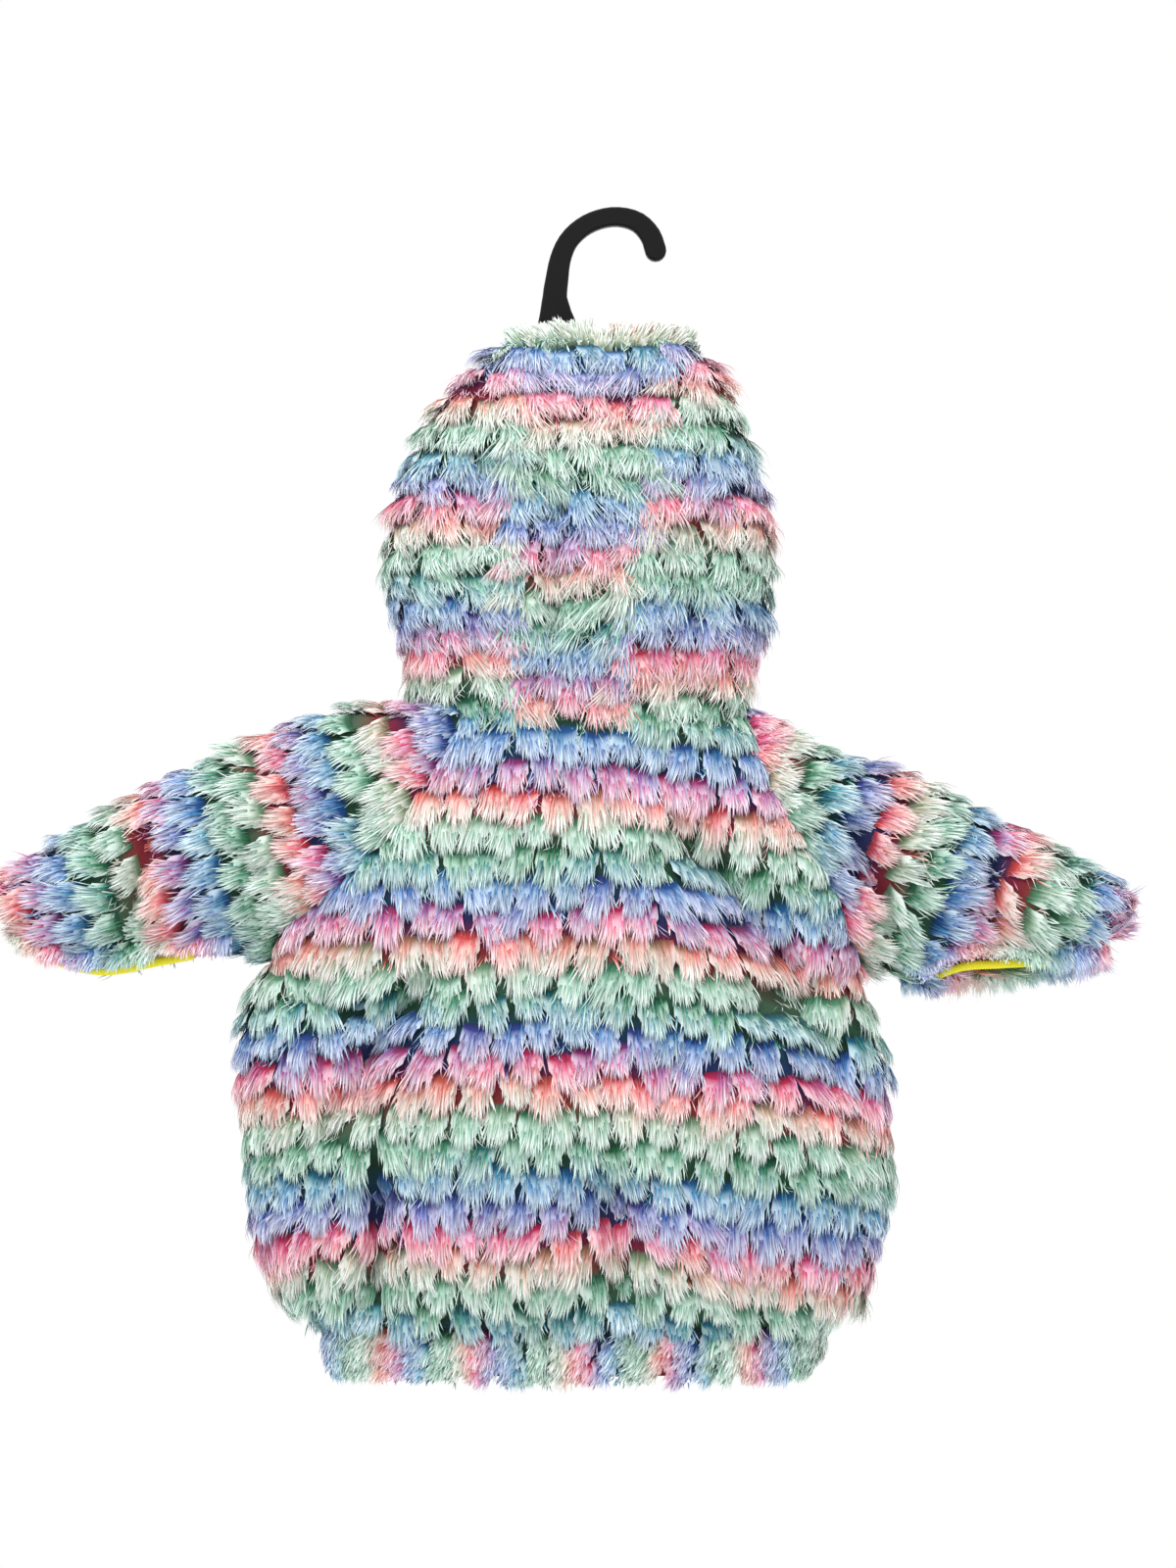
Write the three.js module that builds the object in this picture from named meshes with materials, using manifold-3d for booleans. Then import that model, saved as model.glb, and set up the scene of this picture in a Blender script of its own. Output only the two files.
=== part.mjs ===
// Ostrich costume: a toddler's plush hooded pullover with wing sleeves, on a moulded hanger.
// Millimetres, +Z up. The origin is where a rail touches the inside of the hanger's hook.
// The back of the garment faces -Y, and "left" is the side towards -X.
// Every cloth piece is a wall: an outer skin stepped in rows of pile over a plain inside.

import * as THREE from "three";
import * as BufferGeometryUtils from "three/addons/utils/BufferGeometryUtils.js";
import Module from "manifold-3d";

const wasm = await Module();
wasm.setup();

// Cloth
const WALL = 9; // backing and pile together
const PILE_STEP = 3; // how far the tips of a row stand above the roots of the next
const ROW_PITCH = 14.25; // from one row of tufts to the next
const TIP_SHARE = 0.78; // where along a row its tips lie
const HALF_SEAM = 0.15; // half of the gap between two sewn pieces
const RAGLAN_SHIFT = 0.5; // half of the gap across a raglan seam
const RAGLAN_CHORDS = 8; // straight stretches that a raglan seam is made of
const ARMPIT_RISE = 0.7; // the underarm gap at the end of a raglan seam
const NECK_Z = -246; // the seam between hood and body
const HEM_SEAM_Z = -558; // the seam between body and hem band
const ARMPIT_Z = -372; // the lower end of the raglan seams
const RAGLAN_CURVE = 1.4; // above 1, the chords of a raglan seam are longer near the armpit
const EDGE_PULL = 6; // how closely to its edge the body's skin is drawn onto the raglan seam
const SEAM_CLEAR = 20; // how far from a seam of the body the folds begin

// Body, from neck to hem band. Above the armpits left and right are the raglan seams, and
// centre and half are the middle and half width of the oval that the body's curve follows.
const BODY = [
  { z: -246, left: -77.5, right: 64.5, centre: -20.3, half: 88.3, depth: 34 },
  { z: -281, left: -94, right: 76, centre: -22, half: 116, depth: 39 },
  { z: -305, left: -115.5, right: 92, centre: -24, half: 136, depth: 42 },
  { z: -337, left: -147, right: 113, centre: -26, half: 150, depth: 45 },
  { z: -357, left: -174, right: 120, centre: -27, half: 152, depth: 47 },
  { z: -372, left: -179.5, right: 124.5, centre: -27.5, half: 152, depth: 48 },
  { z: -385, left: -186.5, right: 125.5, centre: -30.5, half: 156, depth: 49 },
  { z: -405, left: -194, right: 133, centre: -30.5, half: 163.5, depth: 51 },
  { z: -430, left: -195.5, right: 139.5, centre: -28, half: 167.5, depth: 53 },
  { z: -460, left: -193, right: 140, centre: -26.5, half: 166.5, depth: 54 },
  { z: -485, left: -190.5, right: 141, centre: -24.8, half: 165.8, depth: 54 },
  { z: -510, left: -188, right: 137, centre: -25.5, half: 162.5, depth: 53 },
  { z: -530, left: -181, right: 131.5, centre: -24.8, half: 156.3, depth: 50 },
  { z: -545, left: -171.5, right: 125, centre: -23.3, half: 148.3, depth: 45 },
  { z: -558, left: -150, right: 109, centre: -20.5, half: 129.5, depth: 35 },
];

// Hem band, from its seam to its free edge
const HEM = [
  { z: -558, left: -150, right: 109, depth: 35 },
  { z: -566, left: -151, right: 108, depth: 35 },
  { z: -576, left: -149, right: 103, depth: 34 },
  { z: -587.5, left: -139, right: 96, depth: 33 },
];
const HEM_GATHERS = 10; // soft gathers above the band, all round
const GATHER_DEPTH = 3;
const GATHER_RISE = 55; // how far up the body they run
const HEM_RIBS = 38; // rows of pile that stand upright round the band
const HEM_WAVE = 1.8; // how far the free edge rises between them

// Hood, from its top slot to the neck. seamLeft and seamRight bound the centre panel on the
// back, face is half the width of the opening in front, and square sharpens the oval's corners.
const HOOD = table(["z", "left", "right", "depth", "seamLeft", "seamRight", "face", "square"], [
  [-53.5, -52.5, 35, 13.8, -45, 28, 30, 0.5],
  [-59, -58.5, 38.5, 18.5, -50, 29, 33, 0.58],
  [-66, -67.5, 45, 21.5, -52.5, 28.5, 37, 0.68],
  [-76, -80, 54, 26.5, -53, 26.5, 42, 0.8],
  [-86, -90, 60.5, 31, -53, 24, 47, 0.9],
  [-100, -100, 65, 36, -53.5, 21.5, 52, 1],
  [-120, -109, 71, 41, -55, 18.5, 57, 1],
  [-150, -119.5, 78.5, 45, -55, 12, 60, 1],
  [-180, -120, 79.5, 46, -53.5, 7.5, 56, 1],
  [-205, -115, 76.5, 43, -53, 4, 46, 1],
  [-225, -110, 70.5, 38, -53.5, 2.5, 28, 1],
  [-246, -108.6, 68, 34, -54.5, 2, 5, 1],
]);
const FACE_CENTRE_X = -20;
const HOOD_CLEAR = 14; // how far above the neck seam the hood's folds begin

// Wings, from raglan seam to tip. top and low are the upper and lower edges of a section seen
// from behind, and depth is half its thickness.
const WINGS = {
  left: {
    side: -1,
    slitLift: 3.5, // how much higher the back edge of the hand slit hangs than the front edge
    stations: [
      { at: 0, topX: -108.6, topZ: -246.15, lowX: -179.5, lowZ: -371.7, depth: 36 },
      { at: 1, topX: -143, topZ: -246.5, lowX: -206, lowZ: -368, depth: 35 },
      { at: 2, topX: -190.5, topZ: -263, lowX: -230, lowZ: -374, depth: 33 },
      { at: 3, topX: -235.5, topZ: -284.5, lowX: -260, lowZ: -380.5, depth: 30 },
      { at: 4, topX: -275, topZ: -306, lowX: -285, lowZ: -375, depth: 26 },
      { at: 5, topX: -304, topZ: -324, lowX: -305, lowZ: -361, depth: 18 },
      { at: 6, topX: -318.5, topZ: -338.5, lowX: -318.5, lowZ: -338.5, depth: 0 },
    ],
  },
  right: {
    side: 1,
    slitLift: 21,
    stations: [
      { at: 0, topX: 68, topZ: -246.15, lowX: 124.5, lowZ: -371.7, depth: 36 },
      { at: 1, topX: 99.5, topZ: -263.5, lowX: 150.5, lowZ: -382, depth: 35 },
      { at: 2, topX: 136, topZ: -274.5, lowX: 172, lowZ: -390, depth: 33 },
      { at: 3, topX: 170, topZ: -290.5, lowX: 194, lowZ: -394.5, depth: 30 },
      { at: 4, topX: 206, topZ: -308, lowX: 222, lowZ: -388, depth: 26 },
      { at: 5, topX: 240, topZ: -324, lowX: 242.5, lowZ: -370, depth: 18 },
      { at: 6, topX: 260, topZ: -342.5, lowX: 260, lowZ: -342.5, depth: 0 },
    ],
  },
};
const STATIONS = 6;
const NECK_SHARE = 0.2; // the share of a wing's half turn that lies on the neckline
const SEAM_FADE = 0.35; // how far along a wing the slant of its raglan seam reaches
const POUCH_END = 0.86; // where the inside of a wing ends
const POUCH_ROUND = 6; // how blunt that end is
const TIP_TAPER = 6; // towards the tip the rows of pile lie flatter, from a sixth of the length on
const WING_NAP = 212; // the length of a wing along its nap
const WING_CLEAR = { start: 0.04, full: 0.2, fade: 0.7, end: 0.9 }; // where along a wing folds may lie
const MAX_PRESS = 0.5; // the share of a wing's half thickness that a fold may take
const SLIT = { start: 0.22, end: 0.8, backGap: 2, frontGap: 9, round: 0.7 };

// Tape that binds the hand slits
const TAPE_HEIGHT = 5;
const TAPE_THICKNESS = 3;
const TAPE_CLEAR = 1.4; // from the front edge's rim, which the tape follows in chords
const TAPE_MARGIN = { back: 0.02, front: 0.16 }; // from the ends of the slit, as shares of the wing
const FRONT_TAPE_LIFT = 0.5; // the pile of the front edge hangs this share of slitLift below its tape
const TAPE_STEPS = 12;
const TAPE_SIDES = 6;

// The largest folds, as troughs (or ridges, where depth is below 0) pressed into the skin.
// FOLD_ENDS says where along its line a fold starts, is full, fades and ends.
const FOLD_ENDS = { start: -0.1, full: 0.25, fade: 0.75, end: 1.1 };
const BACK_FOLDS = [
  { x1: 24, z1: -296, x2: 84, z2: -372, width: 15, depth: 4 },
  { x1: 76, z1: -352, x2: 112, z2: -440, width: 14, depth: 4.5 },
  { x1: -92, z1: -372, x2: -150, z2: -462, width: 14, depth: 4 },
  { x1: -119, z1: -470, x2: -121, z2: -556, width: 12, depth: 4.5 },
  { x1: 108, z1: -378, x2: 60, z2: -392, width: 12, depth: 3 },
  { x1: -165, z1: -382, x2: -120, z2: -400, width: 12, depth: 3 },
  { x1: -6, z1: -470, x2: 4, z2: -550, width: 16, depth: 3 },
];
const FRONT_FOLDS = [
  { x1: -70, z1: -300, x2: -130, z2: -380, width: 15, depth: 4 },
  { x1: 20, z1: -300, x2: 78, z2: -390, width: 14, depth: 4 },
  { x1: -30, z1: -420, x2: -60, z2: -540, width: 15, depth: 3.5 },
  { x1: 60, z1: -440, x2: 74, z2: -550, width: 13, depth: 4 },
];
const HOOD_FOLDS = [
  { x1: -71, z1: -112, x2: -66, z2: -172, width: 10, depth: 4 },
  { x1: -30, z1: -118, x2: -31, z2: -215, width: 9, depth: 4 },
  { x1: -100, z1: -214, x2: -62, z2: -243, width: 9, depth: -2.5 },
  { x1: 34, z1: -150, x2: 40, z2: -215, width: 12, depth: 2.5 },
];
const WING_FOLDS = [
  { x1: -150, z1: -292, x2: -172, z2: -350, width: 13, depth: 3.5 },
  { x1: -232, z1: -300, x2: -246, z2: -368, width: 14, depth: 2.5 },
  { x1: 112, z1: -300, x2: 140, z2: -368, width: 13, depth: 3.5 },
  { x1: 180, z1: -312, x2: 192, z2: -376, width: 14, depth: 2.5 },
];

// Hanger
const PLATE = 6; // its thickness
const EDGE_ROUND = 1;
const HOOK = [
  { x: -31.4, z: -58, width: 22 },
  { x: -31.4, z: -51, width: 20.5 },
  { x: -32, z: -44, width: 16 },
  { x: -32.4, z: -36, width: 12.4 },
  { x: -31.3, z: -27, width: 11.6 },
  { x: -29.6, z: -17, width: 10.6 },
  { x: -25.8, z: -8, width: 9.9 },
  { x: -18.8, z: -0.9, width: 9.6 },
  { x: -10, z: 3.4, width: 9.5 },
  { x: 0, z: 4.75, width: 9.5 },
  { x: 10, z: 1.9, width: 10 },
  { x: 16.4, z: -5, width: 10.6 },
  { x: 19, z: -12.5, width: 10.8 },
];
const STEM = [
  { z: -54, x: -31.4, width: 21 },
  { z: -76, x: -31, width: 16 },
  { z: -110, x: -30.5, width: 13 },
  { z: -240, x: -28, width: 13 },
  { z: -262, x: -27.6, width: 34 },
];
const BAR = { left: -53.5, right: 30, top: -62, height: 7 };
const ARM = { left: -166, right: 104, top: -259, height: 13, seat: 0.9, step: 13.5 };
const RIDGE_REACH = 0.6; // the share of a wing in which the hanger's arms end
const ROUND_STEPS = 8; // sides of a half circle on the hanger

// Columns and rows of the grids of the cloth
const BODY_GRID = { columns: 16, insideColumns: 10, insideRows: 8 };
const WING_GRID = { insideRows: 10 };
const HOOD_CENTRE_GRID = { columns: 7, insideColumns: 3 };
const HOOD_SIDE_GRID = { columns: 11, insideColumns: 6 };
const HEM_GRID = { rows: 4, insideColumns: 36, insideRows: 2 };
const LAST_ROW_LIFT = 0.4; // how far the pile stands at the lower edge of a piece
const RIB = { rise: 0.3, fall: 0.7, lift: 0.9 }; // the section of one rib of the hem band

const COLOURS = {
  body: 0xcfe3da,
  wing: 0xdcd3e4,
  hoodCentre: 0xd9ead9,
  hoodSide: 0xe6cfd8,
  hem: 0xdfe9e0,
  tape: 0xe9dc10,
  plastic: 0x0b0b0c,
};

// Rows of numbers with a name for each column
function table(columns, rows) {
  return rows.map((row) => Object.fromEntries(columns.map((column, i) => [column, row[i]])));
}

// Cubic curve through the rows of a table, read at one value of its key column
function readRows(rows, key, column, at) {
  const rising = rows[1][key] > rows[0][key];
  let i = 0;
  while (i < rows.length - 2 && (rising ? at > rows[i + 1][key] : at < rows[i + 1][key])) {
    i += 1;
  }
  const slopeAt = (k) => {
    const before = rows[Math.max(k - 1, 0)];
    const after = rows[Math.min(k + 1, rows.length - 1)];
    return (after[column] - before[column]) / (after[key] - before[key]);
  };
  const width = rows[i + 1][key] - rows[i][key];
  const t = THREE.MathUtils.clamp((at - rows[i][key]) / width, 0, 1);
  const t2 = t * t;
  const t3 = t2 * t;
  return (2 * t3 - 3 * t2 + 1) * rows[i][column] + (t3 - 2 * t2 + t) * width * slopeAt(i)
    + (3 * t2 - 2 * t3) * rows[i + 1][column] + (t3 - t2) * width * slopeAt(i + 1);
}

// How deep the folds press in at a place seen from behind
function foldDepth(folds, x, z) {
  let depth = 0;
  for (const fold of folds) {
    const runX = fold.x2 - fold.x1;
    const runZ = fold.z2 - fold.z1;
    const length = Math.hypot(runX, runZ);
    const along = ((x - fold.x1) * runX + (z - fold.z1) * runZ) / length ** 2;
    const across = ((x - fold.x1) * runZ - (z - fold.z1) * runX) / length;
    const ends = THREE.MathUtils.smoothstep(along, FOLD_ENDS.start, FOLD_ENDS.full)
      * (1 - THREE.MathUtils.smoothstep(along, FOLD_ENDS.fade, FOLD_ENDS.end));
    depth += fold.depth * ends * Math.exp(-((across / fold.width) ** 2));
  }
  return depth;
}

// A point of the body. turn runs from -1 at its left edge to 1 at its right, face is -1 on the
// back and 1 on the front, and inset is how far the point lies inside the outer skin.
function bodyPoint(turn, z, face, inset) {
  const read = (column) => readRows(BODY, "z", column, z);
  const centre = read("centre");
  const half = read("half");
  const side = Math.sign(turn) || 1;
  const edge = read(side < 0 ? "left" : "right");
  const reach = Math.min(Math.abs(edge - centre) / half, 1);
  const edgeAngle = z < ARMPIT_Z ? Math.PI / 2 : Math.asin(reach);
  const angle = Math.abs(turn) * edgeAngle;
  const shift = z < ARMPIT_Z ? 0 : RAGLAN_SHIFT;
  const share = Math.sin(angle) / Math.sin(edgeAngle);
  const halfHere = Math.abs(edge - centre) - shift - inset * Math.sin(edgeAngle);
  const x = centre + side * halfHere * share;
  const rise = 1 - THREE.MathUtils.smoothstep(z - HEM_SEAM_Z, 0, GATHER_RISE);
  const gather = GATHER_DEPTH * rise * 0.5 * (1 + Math.cos(turn * Math.PI * 0.5 * HEM_GATHERS));
  const folds = face < 0 ? BACK_FOLDS : FRONT_FOLDS;
  const clear = THREE.MathUtils.smoothstep(NECK_Z - z, 0, SEAM_CLEAR)
    * THREE.MathUtils.smoothstep(z - HEM_SEAM_Z, 0, SEAM_CLEAR);
  const pressed = (foldDepth(folds, x, z) + gather) * clear;
  const depth = (read("depth") - inset - HALF_SEAM - pressed) * Math.cos(angle);
  return new THREE.Vector3(x, face * (HALF_SEAM + depth), z);
}

// The height at which a raglan seam has come a share of its way from the neck to the armpit
function raglanZ(along) {
  return THREE.MathUtils.lerp(NECK_Z - HALF_SEAM, ARMPIT_Z, 1 - (1 - along) ** RAGLAN_CURVE);
}

// A point of a raglan seam, which runs in chords so that both of its pieces share one edge
function raglanPoint(side, z, face, inset) {
  let chord = 0;
  while (chord < RAGLAN_CHORDS - 1 && z < raglanZ((chord + 1) / RAGLAN_CHORDS)) {
    chord += 1;
  }
  const upper = raglanZ(chord / RAGLAN_CHORDS);
  const lower = raglanZ((chord + 1) / RAGLAN_CHORDS);
  const start = bodyPoint(side, upper, face, inset);
  const end = bodyPoint(side, lower, face, inset);
  return start.lerp(end, THREE.MathUtils.clamp((z - upper) / (lower - upper), 0, 1));
}

// The body's skin, its edges drawn onto the chords of the raglan seams
function bodySkin(turn, z, face, inset) {
  const point = bodyPoint(turn, z, face, inset);
  if (z > ARMPIT_Z && turn !== 0) {
    const side = Math.sign(turn);
    const shift = raglanPoint(side, z, face, inset).sub(bodyPoint(side, z, face, inset));
    point.add(shift.multiplyScalar(Math.abs(turn) ** EDGE_PULL));
  }
  return point;
}

// A point where a wing is sewn on. turn runs from 0 at the top of the shoulder to 1 at the armpit.
function wingSeamPoint(side, turn, face, inset) {
  const first = BODY[0];
  const edge = side < 0 ? first.left : first.right;
  const cornerAngle = Math.asin(Math.abs(edge - first.centre) / first.half);
  if (turn < NECK_SHARE) {
    const angle = THREE.MathUtils.lerp(Math.PI / 2, cornerAngle, turn / NECK_SHARE);
    const x = first.centre + side * (first.half - inset) * Math.sin(angle);
    const y = face * (first.depth - inset) * Math.cos(angle);
    return new THREE.Vector3(x, y, NECK_Z - HALF_SEAM);
  }
  const along = (turn - NECK_SHARE) / (1 - NECK_SHARE);
  const point = raglanPoint(side, raglanZ(along), face, inset);
  point.x += side * 2 * RAGLAN_SHIFT;
  point.z += ARMPIT_RISE * along;
  return point;
}

// 0 outside the hand slit, 1 in its middle
function slitShare(s) {
  const t = (s - SLIT.start) / (SLIT.end - SLIT.start);
  return t <= 0 || t >= 1 ? 0 : Math.sin(Math.PI * t) ** SLIT.round;
}

// A section of a wing: its two ends, its half thickness and the turn at which its edge lies
function wingSection(wing, s, face, inset, shrink) {
  const read = (column) => readRows(wing.stations, "at", column, s * STATIONS);
  const open = slitShare(s);
  const lift = face < 0 ? wing.slitLift * open : 0;
  const top = new THREE.Vector2(read("topX"), read("topZ"));
  const low = new THREE.Vector2(read("lowX"), read("lowZ") + lift);
  const middle = top.clone().add(low).multiplyScalar(0.5);
  const arm = top.clone().sub(low).multiplyScalar(0.5);
  const length = arm.length();
  arm.setLength(Math.max(length - inset, 0) * shrink);
  const depth = Math.max(read("depth") - inset, 0) * shrink;
  const gap = HALF_SEAM + (face < 0 ? SLIT.backGap : SLIT.frontGap) * open;
  const lastAngle = Math.PI - Math.asin(Math.min(gap / Math.max(depth, gap), 1));
  return { middle, arm, depth, lastAngle };
}

function tubePoint(wing, s, turn, face, inset, shrink) {
  const section = wingSection(wing, s, face, inset, shrink);
  const angle = turn * (section.depth > 0 ? section.lastAngle : Math.PI);
  const x = section.middle.x + section.arm.x * Math.cos(angle);
  const z = section.middle.y + section.arm.y * Math.cos(angle);
  const clear = THREE.MathUtils.smoothstep(s, WING_CLEAR.start, WING_CLEAR.full)
    * (1 - THREE.MathUtils.smoothstep(s, WING_CLEAR.fade, WING_CLEAR.end));
  const pressed = Math.min(foldDepth(WING_FOLDS, x, z) * clear, section.depth * MAX_PRESS);
  const y = face * (section.depth - pressed) * Math.sin(angle);
  return new THREE.Vector3(x, y, z);
}

// A point of a wing. across runs from -1 at the lower back edge over the top to 1 in front.
function wingPoint(wing, across, s, inset, shrink) {
  const face = across < 0 ? -1 : 1;
  const turn = Math.abs(across);
  const point = tubePoint(wing, s, turn, face, inset, shrink);
  if (s < SEAM_FADE) {
    const fade = (1 - s / SEAM_FADE) ** 2;
    const seam = wingSeamPoint(wing.side, turn, face, inset);
    const start = tubePoint(wing, 0, turn, face, inset, 1);
    point.add(seam.sub(start).multiplyScalar(fade));
  }
  return point;
}

// A point of the hood. angle is 0 at the middle of the back and grows towards the right.
function hoodPoint(angle, z, inset) {
  const read = (column) => readRows(HOOD, "z", column, z);
  const left = read("left");
  const right = read("right");
  const half = (right - left) / 2 - inset;
  const square = read("square");
  const sine = Math.sin(angle);
  const cosine = Math.cos(angle);
  const x = (left + right) / 2 + half * Math.sign(sine) * Math.abs(sine) ** square;
  const back = cosine > 0;
  const clear = THREE.MathUtils.smoothstep(z - NECK_Z, 0, HOOD_CLEAR);
  const pressed = back ? foldDepth(HOOD_FOLDS, x, z) * clear : 0;
  const depth = read("depth") - inset - pressed;
  return new THREE.Vector3(x, -depth * Math.sign(cosine) * Math.abs(cosine) ** square, z);
}

// The angle at which the hood's oval passes a place across it
function hoodAngle(x, z) {
  const left = readRows(HOOD, "z", "left", z);
  const right = readRows(HOOD, "z", "right", z);
  const square = readRows(HOOD, "z", "square", z);
  const share = (x - (left + right) / 2) / ((right - left) / 2);
  return Math.sign(share) * Math.asin(Math.min(Math.abs(share), 1) ** (1 / square));
}

function hoodSeamX(side, z) {
  return readRows(HOOD, "z", side < 0 ? "seamLeft" : "seamRight", z);
}

function hoodFaceAngle(side, z) {
  const x = FACE_CENTRE_X + side * readRows(HOOD, "z", "face", z);
  const angle = hoodAngle(x, z);
  return side * Math.PI - angle;
}

function hemPoint(angle, z, inset) {
  const read = (column) => readRows(HEM, "z", column, z);
  const left = read("left");
  const right = read("right");
  const half = (right - left) / 2 - inset;
  const x = (left + right) / 2 + half * Math.sin(angle);
  return new THREE.Vector3(x, -(read("depth") - inset) * Math.cos(angle), z);
}

// Steps along the nap: each row rises from its roots to its tips, then drops to the next roots
function napSteps(length) {
  const rows = Math.round(length / ROW_PITCH);
  const steps = [];
  for (let row = 0; row < rows; row += 1) {
    steps.push({ at: row / rows, lift: 0 });
    steps.push({ at: (row + TIP_SHARE) / rows, lift: 1 });
  }
  steps.push({ at: 1, lift: LAST_ROW_LIFT });
  return steps;
}

function evenSteps(count) {
  return Array.from({ length: count + 1 }, (_, i) => ({ at: i / count, lift: 1 }));
}

function ribSteps(ribs) {
  const steps = [];
  for (let rib = 0; rib < ribs; rib += 1) {
    steps.push({ at: rib / ribs, lift: 0 });
    steps.push({ at: (rib + RIB.rise) / ribs, lift: RIB.lift });
    steps.push({ at: (rib + RIB.fall) / ribs, lift: RIB.lift });
  }
  steps.push({ at: 1, lift: 0 });
  return steps;
}

// The points of a grid in order, and the loop of its border with each point's place on it
function gridOf(rows, columns, firstIndex, placeOf) {
  const points = [];
  const indexOf = (r, c) => firstIndex + r * columns.length + c;
  for (const row of rows) {
    for (const column of columns) {
      points.push(placeOf(column.at, row.at, row.lift * column.lift));
    }
  }
  const lastRow = rows.length - 1;
  const lastColumn = columns.length - 1;
  const border = [];
  for (let c = 0; c < lastColumn; c += 1) {
    border.push({ index: indexOf(0, c), place: columns[c].at });
  }
  for (let r = 0; r < lastRow; r += 1) {
    border.push({ index: indexOf(r, lastColumn), place: 1 + rows[r].at });
  }
  for (let c = lastColumn; c > 0; c -= 1) {
    border.push({ index: indexOf(lastRow, c), place: 3 - columns[c].at });
  }
  for (let r = lastRow; r > 0; r -= 1) {
    border.push({ index: indexOf(r, 0), place: 4 - rows[r].at });
  }
  border.push({ index: indexOf(0, 0), place: 4 });
  return { points, border, indexOf };
}

function gridFaces(rows, columns, indexOf, flip) {
  const faces = [];
  for (let r = 0; r < rows.length - 1; r += 1) {
    for (let c = 0; c < columns.length - 1; c += 1) {
      const corners = [indexOf(r, c), indexOf(r, c + 1), indexOf(r + 1, c + 1), indexOf(r + 1, c)];
      if (flip) {
        corners.reverse();
      }
      faces.push([corners[0], corners[1], corners[2]], [corners[0], corners[2], corners[3]]);
    }
  }
  return faces;
}

// The strip of triangles between two borders, which may have different numbers of points
function rimFaces(outer, inner) {
  const faces = [];
  let i = 0;
  let j = 0;
  while (i < outer.length - 1 || j < inner.length - 1) {
    const outerNext = i < outer.length - 1 ? outer[i + 1].place : Infinity;
    const innerNext = j < inner.length - 1 ? inner[j + 1].place : Infinity;
    if (outerNext <= innerNext) {
      faces.push([outer[i + 1].index, outer[i].index, inner[j].index]);
      i += 1;
    } else {
      faces.push([inner[j].index, inner[j + 1].index, outer[i].index]);
      j += 1;
    }
  }
  return faces;
}

function signedVolume(points, faces) {
  let volume = 0;
  for (const [a, b, c] of faces) {
    volume += points[a].dot(points[b].clone().cross(points[c])) / 6;
  }
  return volume;
}

// One closed body from points and triangles, its faces turned outwards
function closedGeometry(points, faces) {
  const outward = signedVolume(points, faces) > 0;
  const geometry = new THREE.BufferGeometry();
  const positions = points.flatMap((p) => [p.x, p.y, p.z]);
  geometry.setAttribute("position", new THREE.Float32BufferAttribute(positions, 3));
  geometry.setIndex(faces.flatMap((face) => (outward ? face : [face[0], face[2], face[1]])));
  const merged = BufferGeometryUtils.mergeVertices(geometry, 1e-3);
  const index = merged.getIndex().array;
  const kept = [];
  for (let i = 0; i < index.length; i += 3) {
    const [a, b, c] = index.slice(i, i + 3);
    if (a !== b && b !== c && c !== a) {
      kept.push(a, b, c);
    }
  }
  merged.setIndex(kept);
  merged.computeVertexNormals();
  return merged;
}

// A cloth wall. skin(u, v, inset) gives its points, rows and columns are the steps of the
// outer side, and inside is the coarser grid of the plain inner side.
function clothWall({ skin, lining = skin, rows, columns, insideRows, insideColumns }) {
  const outer = gridOf(rows, columns, 0, (u, v, lift) => skin(u, v, PILE_STEP * (1 - lift)));
  const inner = gridOf(insideRows, insideColumns, outer.points.length, (u, v) => lining(u, v, WALL));
  const points = outer.points.concat(inner.points);
  const faces = gridFaces(rows, columns, outer.indexOf, false)
    .concat(gridFaces(insideRows, insideColumns, inner.indexOf, true))
    .concat(rimFaces(outer.border, inner.border));
  return closedGeometry(points, faces);
}

function bodyPanel(face) {
  const top = NECK_Z - HALF_SEAM;
  const bottom = HEM_SEAM_Z + HALF_SEAM;
  const insideRows = evenSteps(RAGLAN_CHORDS).map(({ at, lift }) => {
    const share = (raglanZ(at) - top) / (bottom - top);
    return { at: share, lift };
  });
  const armpit = insideRows[RAGLAN_CHORDS].at;
  for (const { at, lift } of evenSteps(BODY_GRID.insideRows).slice(1)) {
    insideRows.push({ at: THREE.MathUtils.lerp(armpit, 1, at), lift });
  }
  return clothWall({
    skin: (u, v, inset) => bodySkin(2 * u - 1, THREE.MathUtils.lerp(top, bottom, v), face, inset),
    rows: napSteps(top - bottom),
    columns: evenSteps(BODY_GRID.columns),
    insideRows,
    insideColumns: evenSteps(BODY_GRID.insideColumns),
  });
}

// Steps round a wing, from its lower back edge over the top to its lower front edge
function wingSteps() {
  const turns = [0, NECK_SHARE / 2];
  for (let chord = 0; chord <= RAGLAN_CHORDS; chord += 1) {
    turns.push(NECK_SHARE + (1 - NECK_SHARE) * (chord / RAGLAN_CHORDS));
  }
  const back = turns.slice(1).reverse().map((turn) => ({ at: (1 - turn) / 2, lift: 1 }));
  return back.concat(turns.map((turn) => ({ at: (1 + turn) / 2, lift: 1 })));
}

function wingSleeve(wing) {
  return clothWall({
    skin: (u, v, inset) => wingPoint(wing, 2 * u - 1, v, inset * Math.min(1, (1 - v) * TIP_TAPER), 1),
    lining: (u, v, inset) => {
      const shrink = Math.sqrt(Math.max(1 - v ** POUCH_ROUND, 0));
      return wingPoint(wing, 2 * u - 1, v * POUCH_END, inset, shrink);
    },
    rows: napSteps(WING_NAP),
    columns: wingSteps(),
    insideRows: evenSteps(WING_GRID.insideRows),
    insideColumns: wingSteps(),
  });
}

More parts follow.
